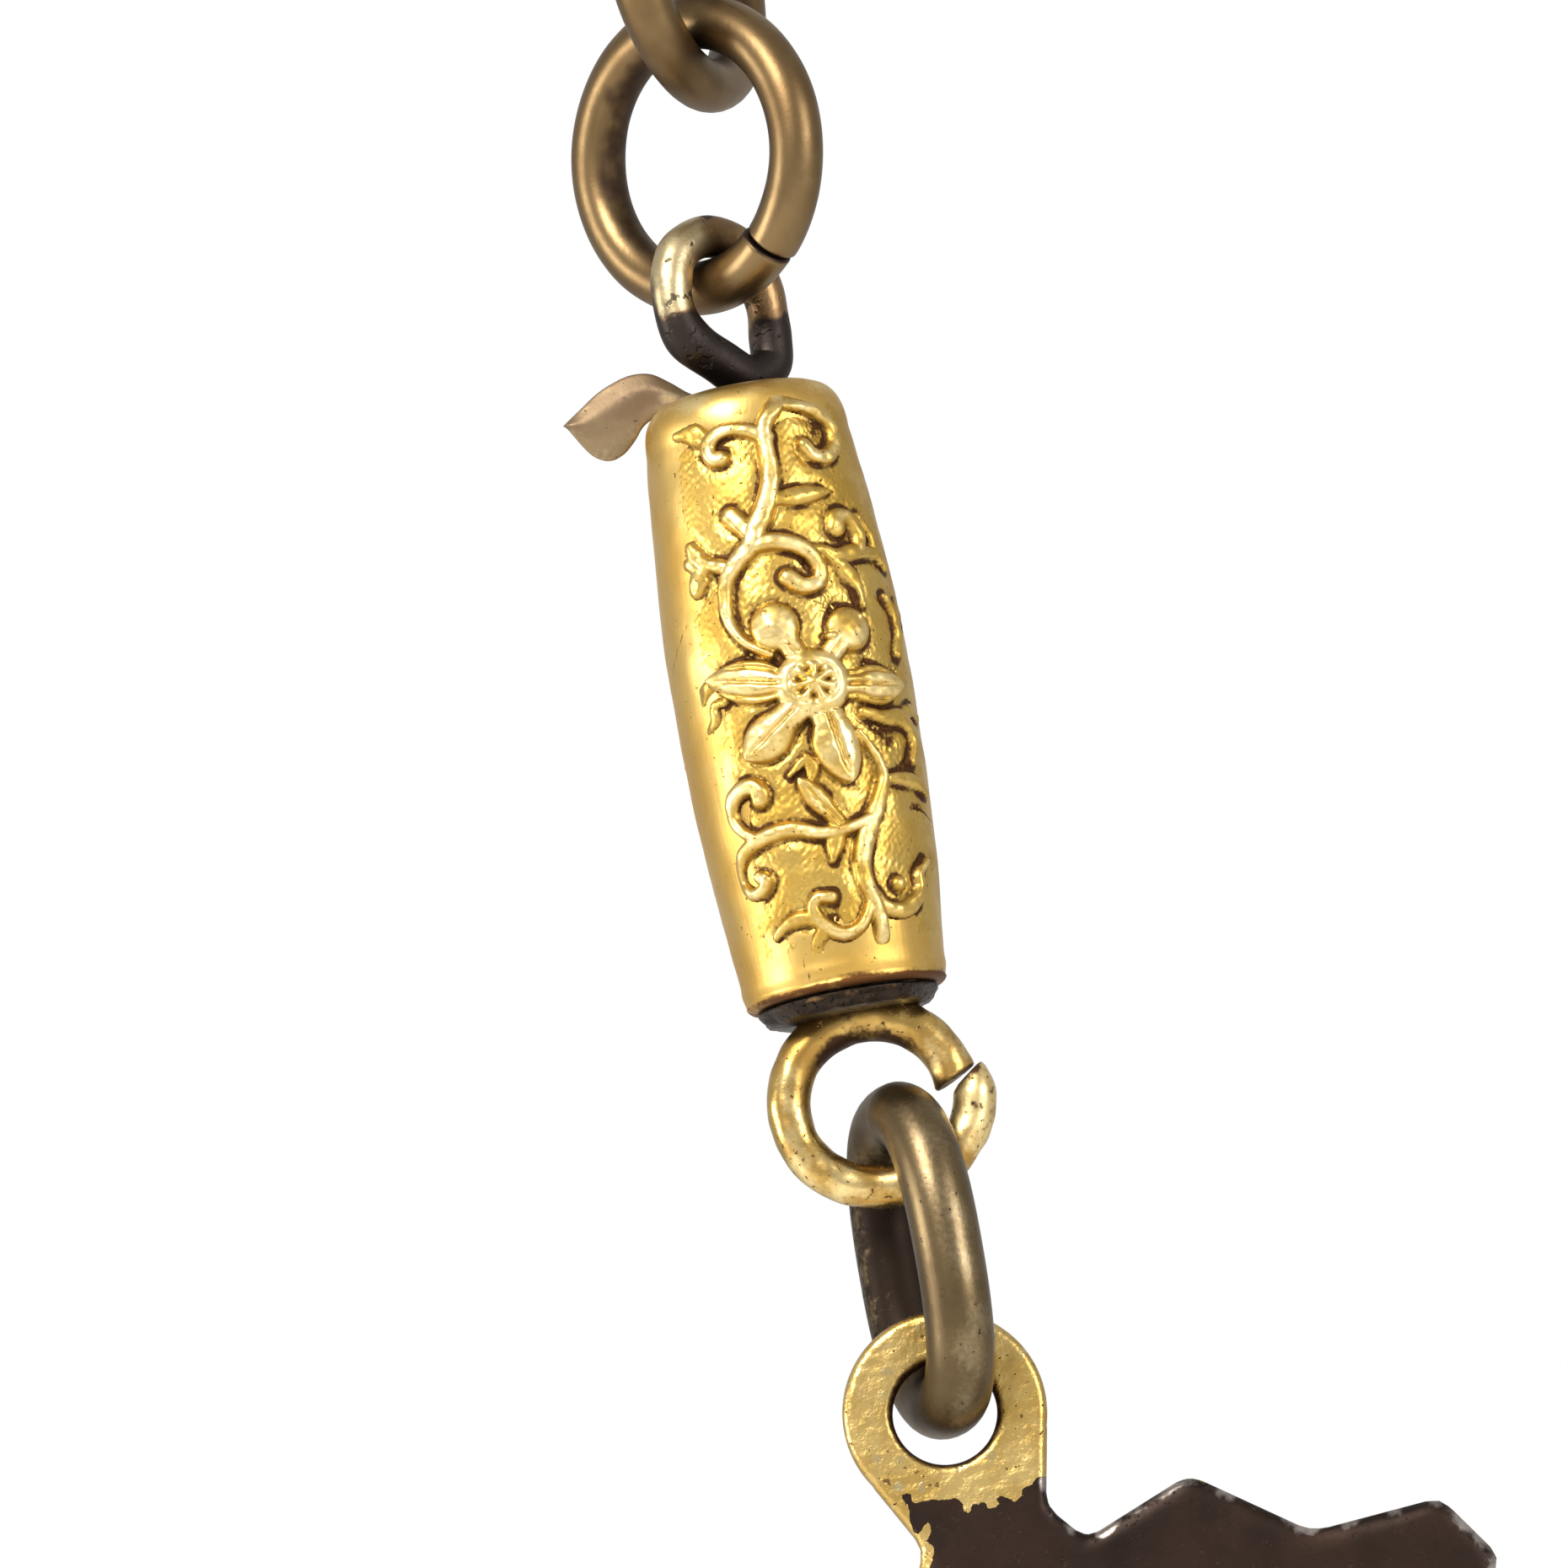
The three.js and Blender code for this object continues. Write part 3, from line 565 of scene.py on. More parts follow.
def barrel_radius(down):
    """Outer radius at a distance below the top: a domed shoulder, then two parabolas that meet
    at the belly."""
    rise = np.clip(1 - down / DOME_HEIGHT, 0, 1)
    dome = DOME_FROM + DOME_SWELL * np.sqrt(np.clip(1 - rise ** 3, 0, 1))
    upper = BELLY_R - UPPER_LOSS * ((BELLY_DOWN - down) / UPPER_LENGTH) ** 2
    lower = BELLY_R - LOWER_LOSS * ((down - BELLY_DOWN) / LOWER_LENGTH) ** 2
    return np.where(down < DOME_HEIGHT, dome, np.where(down < BELLY_DOWN, upper, lower))


PANEL_FROM, PANEL_TO = np.radians(-52), np.radians(97)    # from the front, to the right
PANEL_TOP, PANEL_FOOT = 0.42, 12.98                       # below the barrel's top
PANEL_R = 2.4                                             # about the barrel's radius there
ACROSS = 2.5                    # millimetres across for a radian, in the pattern below


def place_round(angle, radius, down):
    """Points from an angle measured from the front towards the right, a radius and a distance
    below the barrel's top."""
    return np.stack([AXIS_X + radius * np.sin(angle), AXIS_Y - radius * np.cos(angle),
                     BARREL_TOP - down + 0 * angle], -1)


def panel_depth(angle, down):
    """How far inside the nearer chased panel's border a point of the barrel lies, in
    millimetres; negative outside."""
    best = np.full(np.broadcast(angle, down).shape, -9.0)
    for turn in (0, np.pi):
        a = (angle - turn + np.pi) % (2 * np.pi) - np.pi
        a = np.where(a < PANEL_FROM - 0.6, a + 2 * np.pi, a)
        sides = np.minimum(a - PANEL_FROM, PANEL_TO - a) * PANEL_R
        best = np.maximum(best, np.minimum(sides, np.minimum(down - PANEL_TOP, PANEL_FOOT - down)))
    return best


def sleeve_wobble(points):
    """Slight unevenness of the sleeve's outside, in millimetres: broad waves and fainter short
    ones."""
    return 0.012 * unevenness(points, 3.0, 11) + 0.004 * unevenness(points, 0.8, 12)


# The sleeve's section, as (radius, distance below the top). The foot's radii are counted from
# the outside's radius at FOOT_DOWN.
LIP_DOWN = [0.0, 0.006, 0.02, 0.045, 0.08, 0.13, 0.2, 0.3]
FOOT_DOWN = 13.5
FOOT_EDGE = [(0.035, 13.51), (0.0, 13.56), (-0.05, 13.6), (-0.12, 13.62), (-0.32, 13.615)]
BORE = [(1.66, 13.57), (1.62, 13.5), (1.62, 12.5), (1.64, 11.0), (1.9, 9.6), (2.06, 7.4),
        (2.08, 5.8), (1.98, 4.0), (1.84, 2.4), (1.72, 1.85), (1.72, 0.72), (1.70, 0.70),
        (1.40, 0.70), (1.36, 0.66), (1.36, 0.06), (1.375, 0.02), (1.40, 0.0)]


def barrel_body():
    """The sleeve, turned: its outside from the lip over the dome to the foot, and its bore back
    to the lip, with the outside sunk a little under the chased panels."""
    outer = np.concatenate([LIP_DOWN, np.linspace(0.4, 13.46, 150)])
    radius = barrel_radius(outer)
    rim = 0.03 * bell(outer - 13.22, 0.16)
    foot_r = barrel_radius(FOOT_DOWN)
    foot = [(foot_r + more, down) for more, down in FOOT_EDGE]
    profile = np.concatenate([np.stack([radius + rim, outer], -1), foot, BORE])
    angle = np.linspace(-np.pi, np.pi, 240, endpoint=False)[None]
    radius, down = profile[:, :1], profile[:, 1:]
    outside = np.arange(len(profile))[:, None] < len(outer)
    depth = panel_depth(angle, down)
    sunk = 0.09 * smoothstep(0.55, 1.0, depth) * outside
    rows = place_round(angle + 0 * down, radius - sunk, down)
    rows = place_round(angle + 0 * down, radius - sunk + sleeve_wobble(rows) * outside, down)
    points, faces = skin(rows, True)
    # painted shade: a dark band just above the foot's rim and on the foot's lower edge, strongest on
    # the front towards the right, and the whole bore darker; the scratches are real marks
    foot_line = 0.62 * bell(down - 13.43, 0.09) + 0.6 * smoothstep(13.46, 13.56, down)
    front = np.clip(np.cos(angle - 0.35), 0, 1)
    grime_and_shade = foot_line * (0.3 + 0.8 * front) + 0.5 * (1 - outside)
    grime_and_shade = grime_and_shade * (0.92 + 0.2 * unevenness(rows, 0.6, 13))
    worn = 0.45 * bell(down - 0.32, 0.3) + 0.15 * smoothstep(-0.1, -0.8, depth)
    worn = worn * (1 + 0.4 * unevenness(rows, 1.3, 14))
    grime_and_shade = grime_and_shade + scratches(angle, down)
    marks = {"grime_and_shade": grime_and_shade, "worn": worn * outside + 0 * grime_and_shade}
    return make_piece("barrel_body", points, faces, "barrel", GOLD_SMOOTH,
                      ["barrel_sleeve"], marks)


SCRATCHES = [((-3.1, 6.0), (-2.2, 5.1)), ((-0.95, 12.8), (-0.85, 13.3)),
             ((2.6, 9.9), (3.4, 10.2)), ((-4.6, 3.0), (-4.4, 5.0))]


def scratches(angle, down):
    """Thin dark lines scored in the barrel: nearness to a few straight strokes."""
    total = np.zeros(np.broadcast(angle, down).shape)
    for (a0, s0), (a1, s1) in SCRATCHES:
        a, s = angle * ACROSS - a0, down - s0
        length = np.hypot(a1 - a0, s1 - s0)
        t = np.clip((a * (a1 - a0) + s * (s1 - s0)) / length ** 2, 0, 1)
        total += 0.7 * bell(np.hypot(a - t * (a1 - a0), s - t * (s1 - s0)), 0.035)
    return total


# Chased pattern. Each stroke runs through points (across, down), with its half widths at the
# start, the middle and the end, and its height, all of them before these two factors.
STROKE_WIDER, STROKE_HIGHER = 1.5, 1.1
STROKES = [
    # upper stem and what grows from it
    ([(1.0, .3), (.9, .65), (.46, 1.13), (.39, 1.6), (.38, 2.2), (.3, 2.55), (.03, 3.15),
      (-.2, 3.45), (-.31, 3.75), (-.7, 4.1), (-.97, 4.45), (-1.06, 4.85), (-1.03, 5.35),
      (-.75, 5.9), (-.3, 6.25)], (.15, .17, .07), .2),
    ([(.9, .65), (1.33, .77), (1.86, .96), (2.28, 1.25), (2.28, 1.65), (1.94, 1.97),
      (1.52, 1.95), (1.32, 1.7)], (.13, .12, .14), .18),
    ([(.46, 1.42), (.29, 1.33), (0, 1.2), (-.4, 1.12), (-.77, 1.19), (-.97, 1.4), (-.88, 1.68),
      (-.68, 1.72)], (.13, .12, .15), .18),
    ([(-.85, 1.3), (-1.3, 1.05), (-1.5, 1.0), (-1.85, .97)], (.12, .17, .08), .13),
    ([(.1, 3.2), (-.27, 3.55), (-.43, 3.34), (-.66, 3.05)], (.1, .14, .16), .17),
    ([(-.3, 3.8), (.08, 3.77), (.53, 3.89), (.86, 4.13), (1.04, 4.5), (.95, 4.8), (.6, 4.86),
      (.33, 4.62)], (.15, .13, .14), .19),
    ([(.8, 4.05), (1.2, 4.1), (1.52, 4.24), (2.15, 4.18), (2.8, 4.22)], (.07, .13, .1), .13),
    ([(2.2, 4.12), (2.28, 3.75), (2.06, 3.42), (1.74, 3.42), (1.66, 3.62)], (.1, .13, .16), .15),
    ([(2.4, 3.4), (2.68, 3.74), (2.8, 4.17), (3.1, 4.5)], (.08, .12, .08), .12),
    ([(1.28, 4.22), (1.63, 4.55), (1.86, 4.95), (1.9, 5.4)], (.09, .14, .06), .13),
    ([(-.79, 4.23), (-1.05, 4.09), (-1.42, 3.97)], (.12, .12, .12), .16),
    ([(-1.42, 3.98), (-1.62, 3.78), (-1.72, 3.5)], (.14, .17, .1), .17),
    ([(-1.42, 3.98), (-1.7, 3.9), (-1.95, 3.83)], (.12, .15, .1), .15),
    ([(-1.42, 3.98), (-1.6, 4.15), (-1.74, 4.45)], (.12, .18, .16), .15),
    # beside the flower
    ([(-1.55, 6.5), (-2.02, 6.7), (-2.37, 7.05), (-2.52, 7.32)], (.1, .14, .05), .12),
    ([(-1.48, 7.03), (-1.75, 7.05), (-1.82, 7.36), (-2.1, 7.55)], (.07, .1, .06), .1),
    ([(1.42, 7.78), (1.9, 7.92), (2.5, 7.97), (2.85, 8.39), (2.63, 8.9)], (.1, .14, .08), .13),
    ([(1.82, 9.27), (2.5, 9.32), (3.15, 9.6)], (.08, .12, .06), .12),
    ([(2.5, 7.97), (2.9, 7.75), (3.4, 7.9)], (.1, .12, .07), .11),
    ([(2.7, 5.2), (3.0, 5.6), (3.0, 6.1), (2.75, 6.5)], (.06, .13, .08), .12),
    ([(3.0, 5.6), (3.35, 5.4), (3.6, 5.7)], (.08, .12, .1), .11),
    # lower stem and what grows from it
    ([(1.2, 8.2), (1.4, 8.55), (1.58, 8.9), (1.62, 9.3), (1.45, 9.76), (1.19, 10.22), (.96, 10.67),
      (.84, 11.09), (.86, 11.47), (.96, 11.81), (1.06, 12.2), (1.1, 12.7)], (.06, .15, .14), .19),
    ([(.98, 11.75), (1.28, 12.08), (1.69, 12.17), (2.13, 12.0), (2.37, 11.69), (2.36, 11.41),
      (2.65, 11.12)], (.13, .13, .08), .15),
    ([(1.3, 10.0), (1.21, 10.08), (.83, 10.23), (.47, 10.3), (.05, 10.28), (-.49, 10.1),
      (-.94, 10.1), (-1.37, 10.19), (-1.79, 10.41), (-2.03, 10.72), (-2.01, 11.06),
      (-1.74, 11.27), (-1.43, 11.22), (-1.33, 11.02), (-1.47, 10.95)], (.1, .13, .11), .18),
    ([(-1.3, 10.15), (-1.64, 9.89), (-1.82, 9.55), (-1.76, 9.23), (-1.5, 9.01), (-1.22, 8.99),
      (-1.05, 9.16), (-1.09, 9.32)], (.09, .13, .15), .18),
    ([(.46, 10.2), (.35, 10.5), (.22, 10.93)], (.16, .15, .05), .13),
    ([(.92, 11.95), (.63, 12.39), (.23, 12.54), (-.12, 12.37), (-.33, 12.12), (-.4, 11.85),
      (-.27, 11.67), (.04, 11.7)], (.1, .12, .11), .17),
    ([(-.38, 12.15), (-.7, 12.03), (-1.1, 12.09), (-1.44, 12.3)], (.1, .12, .07), .14),
    ([(-.2, 12.33), (-.46, 12.6), (-.55, 12.85)], (.1, .12, .08), .12),
    ([(.02, 8.55), (.12, 8.8), (.08, 9.05)], (.04, .13, .07), .11),
]

# Leaves and petals: base, tip, greatest half width, where along it that is, height, and how
# many grooves run along it.
BLADES = [
    ((.33, 2.86), (1.7, 2.8), .23, .42, .15, 0),
    ((.5, 10.15), (-.2, 9.03), .26, .55, .2, 1),
    ((.27, 6.45), (-.3, 5.3), .36, .62, .24, 1),
    ((.85, 6.5), (1.72, 5.63), .36, .62, .22, 1),
    ((-.1, 6.95), (-1.72, 6.5), .5, .42, .28, 3),
    ((1.05, 7.15), (2.5, 7.25), .47, .55, .26, 3),
    ((.02, 7.5), (-1.15, 8.42), .5, .58, .29, 1),
    ((.6, 7.7), (.85, 9.3), .52, .45, .31, 2),
    ((-.4, 8.95), (.1, 8.55), .11, .5, .1, 0),
]

# Round knobs, the last two of them petals: middle, half sizes across and down, height.
KNOBS = [
    ((1.68, 11.59), (.2, .18), .2),
    ((1.52, 1.9), (.17, .15), .2),
    ((-.7, 1.7), (.17, .15), .19),
    ((.42, 4.72), (.17, .14), .19),
    ((1.7, 3.55), (.18, .17), .17),
    ((-1.12, 9.22), (.17, .17), .2),
    ((-1.44, 11.02), (.15, .14), .19),
    ((-1.74, 3.52), (.17, .17), .19),
    ((-1.75, 4.42), (.2, .18), .17),
    ((-.68, 3.06), (.17, .15), .19),
    ((.98, 6.05), (.16, .1), .3),
    ((-.13, 5.66), (.52, .56), .28),
    ((1.43, 5.93), (.52, .52), .26),
]

# Places where the ground was punched or eaten deep: middle, half sizes, depth.
HOLLOWS = [
    ((1.63, 12.53), (.36, .26), .06), ((1.2, 5.35), (.34, .26), .05),
    ((2.05, 8.45), (.3, .24), .05), ((2.3, 9.0), (.2, .16), .05),
    ((1.75, 8.1), (.28, .3), .07), ((-.72, 6.2), (.3, .22), .05), ((-1.5, 9.45), (.2, .3), .07),
    ((-1.72, 10.8), (.2, .26), .07), ((1.75, 1.4), (.22, .26), .05), ((-1.15, 1.55), (.2, .2), .05),
    ((.1, 12.1), (.16, .2), .05), ((.45, 8.1), (.16, .2), .06), ((1.75, 6.65), (.2, .16), .06),
    ((-.75, 7.6), (.3, .2), .05), ((2.6, 9.9), (.3, .14), .06), ((-1.2, 4.35), (.16, .2), .06),
    ((.75, 4.35), (.17, .22), .04), ((1.9, 3.75), (.14, .2), .05), ((2.5, 6.9), (.3, .3), .04),
]


class Relief:
    """Heights of the chased pattern on a grid of (across, down): the highest of all its shapes
    above the ground, the distance to the nearest shape's edge, and the dark cuts in them."""

    def __init__(self, across, down):
        self.at = np.stack([across, down], -1)
        self.height = np.zeros(across.shape)
        self.outside = np.full(across.shape, 9.0)
        self.cut = np.zeros(across.shape)

    def near(self, low, high, margin=0.7):
        """The part of the grid within a margin of a box."""
        low, high = np.asarray(low) - margin, np.asarray(high) + margin
        return np.nonzero(((self.at >= low) & (self.at <= high)).all(-1))

    def add(self, spot, height, outside):
        """Raises the grid to a shape's height and notes how far outside its edge each point is."""
        self.height[spot] = np.maximum(self.height[spot], height)
        self.outside[spot] = np.minimum(self.outside[spot], outside)

    def stroke(self, points, widths, height):
        """A rounded bar along a smooth line: full height at the line, falling to nothing at its
        half width w as h(1 - (d / w)^2.8)^0.7."""
        line = smooth_line(points, 8)
        spot = self.near(line.min(0), line.max(0))
        here = self.at[spot]
        start, step = line[:-1], np.diff(line, axis=0)
        ahead = here[:, None] - start[None]
        t = np.clip((ahead * step).sum(-1) / (step ** 2).sum(-1), 0, 1)
        away = np.linalg.norm(ahead - t[..., None] * step, axis=-1)
        best = away.argmin(1)
        pick = np.arange(len(here)), best
        run = run_length(line)
        share = (run[best] + t[pick] * np.diff(run)[best]) / run[-1]
        width = np.interp(share, [0, 0.5, 1], widths)
        width = STROKE_WIDER * width * (1 + 0.07 * np.sin(9 * share + 3 * points[0][0]))
        d = away[pick]
        bar = np.clip(1 - np.clip(d / width, 0, 1) ** 2.8, 0, 1) ** 0.7
        self.add(spot, STROKE_HIGHER * height * bar, d - width)

    def blade(self, base, tip, width, widest, height, grooves):
        """A petal: u runs from base to tip and v from edge to edge. Its half width is a sine
        bent to be widest where asked, and its crown h(1 - v^2.2)^0.55 is cut by grooves."""
        base, tip = np.asarray(base), np.asarray(tip)
        spot = self.near(np.minimum(base, tip) - width, np.maximum(base, tip) + width)
        way = tip - base
        length = np.hypot(*way)
        way /= length
        ahead = self.at[spot] - base
        u = ahead @ way / length
        v = ahead @ np.array([-way[1], way[0]])
        bent = np.clip(u, 0, 1) ** (np.log(0.5) / np.log(widest))
        half = width * np.clip(np.sin(np.pi * np.clip(bent, 0.17, 1)), 0.02, 1) ** 0.5
        past = np.maximum(np.maximum(-u, u - 1), 0) * length
        outside = np.hypot(np.maximum(np.abs(v) - half, 0), past)
        outside = np.where(outside > 0, outside, np.abs(v) - half)
        w = np.clip(np.abs(v) / half, 0, 1)
        crown = height * (1 - w ** 2.2) ** 0.55 * (past == 0)
        if grooves:
            phase = v / half * grooves / 2
            line = bell((phase - np.round(phase)) * 2 * half / grooves, 0.045)
            cut = 0.45 if grooves > 1 else 0.35
            crown *= 1 - cut * line * smoothstep(1.0, 0.7, w) * smoothstep(0.95, 0.6, u)
        self.add(spot, crown, outside)

    def knob(self, middle, sizes, height):
        """Half an ellipsoid."""
        middle, sizes = np.asarray(middle), np.asarray(sizes)
        spot = self.near(middle - sizes, middle + sizes)
        r = np.linalg.norm((self.at[spot] - middle) / sizes, axis=-1)
        self.add(spot, height * np.sqrt(np.clip(1 - r ** 2, 0, 1)), (r - 1) * sizes.mean())

    def flower_heart(self, middle, size, height):
        """The flower's heart: a cushion with a pressed rosette, a ring of seven pits round a
        small knob and a fine groove round them."""
        middle = np.asarray(middle)
        spot = self.near(middle - size, middle + size)
        ahead = self.at[spot] - middle
        r = np.hypot(*ahead.T)
        turn = np.arctan2(ahead[:, 1], ahead[:, 0])
        cushion = height * np.clip(1 - np.clip(r / size, 0, 1) ** 3.2, 0, 1) ** 0.5
        petal = 0.5 + 0.5 * np.cos(7 * turn + 0.6)
        cushion -= 0.15 * bell(r - 0.3, 0.12) * petal ** 1.4 + 0.03 * bell(r - 0.47, 0.05)
        cushion += 0.05 * bell(r, 0.12)
        self.add(spot, cushion, r - size)
        self.cut[spot] += 0.95 * bell(r - 0.3, 0.11) * petal ** 3


def chased_relief(across, down):
    """Height above the sleeve in millimetres, with the grime mark, which holds painted shade, and
    the worn mark, from the strokes, blades, knobs and hollows, over a punched ground."""
    relief = Relief(across, down)
    for points, widths, height in STROKES:
        relief.stroke(points, widths, height)
    for blade in BLADES:
        relief.blade(*blade)
    for knob in KNOBS:
        relief.knob(*knob)
    relief.flower_heart((.43, 7.03), .8, .36)
    at = relief.at
    fading = smoothstep(3.9, 2.7, across)       # the pattern ends before the panel's right border
    relief.height *= fading
    outside = np.maximum(relief.outside, 0)
    close = bell(outside, 0.45) * fading
    ground = -0.03 * bell(outside, 0.16) * fading
    punched = 0.0035 * unevenness(at, 0.13, 22) + 0.004 * unevenness(at, 0.5, 23)
    ground += punched * (0.3 + 0.7 * close)
    hollow = np.zeros(across.shape)
    for middle, sizes, depth in HOLLOWS:
        r = np.linalg.norm((at - np.asarray(middle)) / np.asarray(sizes), axis=-1)
        hollow += bell(r, 0.8) * depth / 0.06
        ground -= depth * bell(r, 0.8) * (1 + 0.5 * unevenness(at, 0.12, 24))
    on_top = smoothstep(0.0, 0.05, relief.height)
    top = relief.height + 0.006 * unevenness(at, 0.3, 25) * on_top
    height = np.where(relief.height > 0, np.maximum(top, ground), ground)
    patchy = unevenness(at, 0.8, 26)
    # painted shade in a narrow band round the foot of every raised shape; the ground is also darker
    # in the hollows, in the heart's pits and towards the panel's right
    grime_and_shade = (0.66 + 0.16 * patchy) * bell(relief.outside - 0.035, 0.085)
    grime_and_shade += (0.74 + 0.1 * patchy) * np.clip(hollow, 0, 1) * (1 - on_top) + 0.8 * relief.cut
    grime_and_shade += 0.26 * smoothstep(1.0, 3.0, across) * close * (1 - on_top)
    worn = smoothstep(0.08, 0.22, relief.height) * (0.66 + 0.14 * patchy) * (1 - relief.cut)
    worn += 0.12 * smoothstep(0.4, 0.9, outside)
    return height, grime_and_shade, worn


def chased_panel(name, turn):
    """One chased panel as a thin shell round the barrel: its outside is the relief, which sinks
    under the sleeve at its borders, and its inside a smooth wall, with a flat face at each end."""
    columns, back_columns, rows, shell = 224, 24, 396, 0.22
    angle = np.linspace(PANEL_FROM, PANEL_TO, columns)[None]
    down = np.linspace(PANEL_TOP, PANEL_FOOT, rows)[:, None]
    across = angle * ACROSS + 0 * down
    height, grime_and_shade, worn = chased_relief(across, down + 0 * angle)
    depth = panel_depth(angle, down)
    base = place_round(angle + turn + 0 * down, barrel_radius(down), down)
    lift = -0.012 + 0.018 * smoothstep(0.0, 0.6, depth) + height * smoothstep(0.05, 0.45, depth)
    lift += sleeve_wobble(base)
    radius = barrel_radius(down) + lift
    outside = place_round(angle + turn + 0 * down, radius, down)
    back_angle = np.linspace(PANEL_TO, PANEL_FROM, back_columns)[None]
    inside = place_round(back_angle + turn + 0 * down, barrel_radius(down) - shell, down)
    loops = np.concatenate([outside, inside], 1)
    points, faces = skin(loops, False)
    around = loops.shape[1]
    points = points[:-2]
    ends = np.arange(around)
    faces = [faces[0], np.stack([ends[::-1], ends + (rows - 1) * around])]
    clean = np.zeros((rows, back_columns))
    grime_and_shade = grime_and_shade + scratches(angle, down) * (turn == 0)
    marks = {"grime_and_shade": np.concatenate([grime_and_shade, clean + 0.6], 1),
             "worn": np.concatenate([worn, clean], 1)}
    return make_piece(name, points, faces, "barrel", GOLD_CHASED, marks=marks)


barrel_body()
chased_panel("chased_panel_front", 0.0)
chased_panel("chased_panel_back", np.pi)


# ---- thumb leaf -----------------------------------------------------------------------------
LEAF_INNER = [(-1.12, -.7), (-1.12, -.3), (-1.14, -.04), (-1.3, .04), (-1.55, .02), (-1.9, -.05),
              (-2.19, -.2), (-2.45, -.5), (-2.75, -.75), (-3.07, -.83), (-3.4, -.66), (-3.88, .08)]
LEAF_OUTER = [(-.48, -.7), (-.48, -.3), (-.5, .0), (-.75, .16), (-1.1, .36), (-1.45, .66),
              (-1.85, .93), (-2.3, .98), (-2.75, .86), (-3.1, .7), (-3.5, .43), (-3.95, .12)]


def thumb_leaf():
    """The thumb leaf: a ribbon between an inner and an outer edge line. Each section runs
    straight between the edges and swells to the plate's thickness as (1 - v^2)^0.25, and the
    blade is curled towards the front along a ridge."""
    low, high, middle = node_box("thumb_leaf")
    inner, outer = smooth_line(LEAF_INNER, 12), smooth_line(LEAF_OUTER, 12)
    share = np.linspace(0, 1, len(inner))[:, None]
    angle = circle(48)[None]
    v = np.cos(angle)
    blade = inner[:, None] * (1 - v[..., None]) / 2 + outer[:, None] * (1 + v[..., None]) / 2
    half = (high[1] - low[1]) / 2
    close_up = np.clip((1 - share) / 0.04, 0, 1) ** 0.5
    round_edge = np.sign(np.sin(angle)) * np.abs(np.sin(angle)) ** 0.5
    thick = half * 0.62 * round_edge * (0.25 + 0.75 * close_up)
    ridge = -0.09 * smoothstep(0.3, 0.5, share) * (bell(v - 0.35, 0.4) - 0.6)
    ridge -= 0.03 * bell(share - 0.42, 0.1)
    y = middle[1] + thick + ridge
    rows = np.stack([blade[..., 0] + AXIS_X, y + 0 * v, blade[..., 1] + BARREL_TOP], -1)
    points, faces = skin(rows, False)
    shade = unevenness(rows, 0.9, 31)
    ridge_line = bell(v - 0.3 - 0.5 * (share - 0.5), 0.22) * smoothstep(0.28, 0.42, share)
    ridge_line = ridge_line * smoothstep(0.86, 0.6, share)
    oval = bell(np.hypot((share - 0.42) * 5.5, v - 0.1), 0.42)
    # painted shade along the fold of the blade and near its root, where it goes into the barrel; the
    # pale oval is wear
    grime_and_shade = 0.5 * ridge_line + 0.5 * smoothstep(0.34, 0.18, share) + 0.07 * shade
    edge = smoothstep(0.4, 0.9, share) * smoothstep(0.2, -0.8, v)
    worn = 0.75 * oval + 0.3 * edge + 0.1 * shade
    grime_and_shade = grime_and_shade * (1 - 0.9 * oval)
    return make_piece("thumb_leaf_blade", points, faces, "thumb", ROSE_LEAF,
                      ["thumb_leaf"], shut_marks(grime_and_shade, worn, 0.5))


thumb_leaf()


# ---- swivel plug and end ring ---------------------------------------------------------------
PLUG_HEIGHT = 0.36
PLUG_SECTION = [(0.02, 0.0), (1.2, 0.0), (1.93, 0.0), (1.985, 0.02), (2.0, 0.06), (1.97, 0.11),
                (1.92, 0.17), (1.88, 0.23), (1.83, 0.29), (1.75, 0.34), (1.6, PLUG_HEIGHT),
                (1.2, PLUG_HEIGHT), (0.7, PLUG_HEIGHT), (0.02, PLUG_HEIGHT)]    # (radius, down)


def swivel_plug():
    """The blackened plug: a turned cone with rounded edges and a lumpy surface of old solder."""
    low, high, middle = node_box("swivel_plug")
    top, height = high[2], high[2] - low[2]
    profile = smooth_line(PLUG_SECTION, 4)
    angle = circle(120)[None]
    radius, down = profile[:, :1], profile[:, 1:] / PLUG_HEIGHT * height
    rows = np.stack([middle[0] + radius * np.cos(angle), middle[1] + radius * np.sin(angle),
                     top - down + 0 * angle], -1)
    side = smoothstep(0.04, 0.14, down) * smoothstep(0.5, 1.4, radius)
    lumps = side * (0.02 * unevenness(rows, 0.45, 41) + 0.01 * unevenness(rows, 0.2, 42) - 0.02)
    rows[..., 0] += lumps * np.cos(angle)
    rows[..., 1] += lumps * np.sin(angle)
    points, faces = skin(rows, False)
    worn = np.append(0.3 * bell(down - 0.1, 0.05) + 0.1 * unevenness(rows, 0.5, 43), [0, 0])
    return make_piece("swivel_plug_cone", points, faces, "swivel", BLACK_SOLDER,
                      ["swivel_plug"], {"worn": worn})


END_WIRE_R, END_RING_R = 0.475, 1.86
END_RING_FROM, END_RING_PAST = np.radians(6), np.radians(1.2)   # upper end; how far it goes past
SPREAD, SPREAD_FROM = 0.38, 0.68        # how far the lower end is sprung out, and from where
SLANT, SLANT_LENGTH = 0.15, 0.5         # of the cut ends
PINCH, PINCH_LENGTH = 0.36, 0.55        # of the lower end


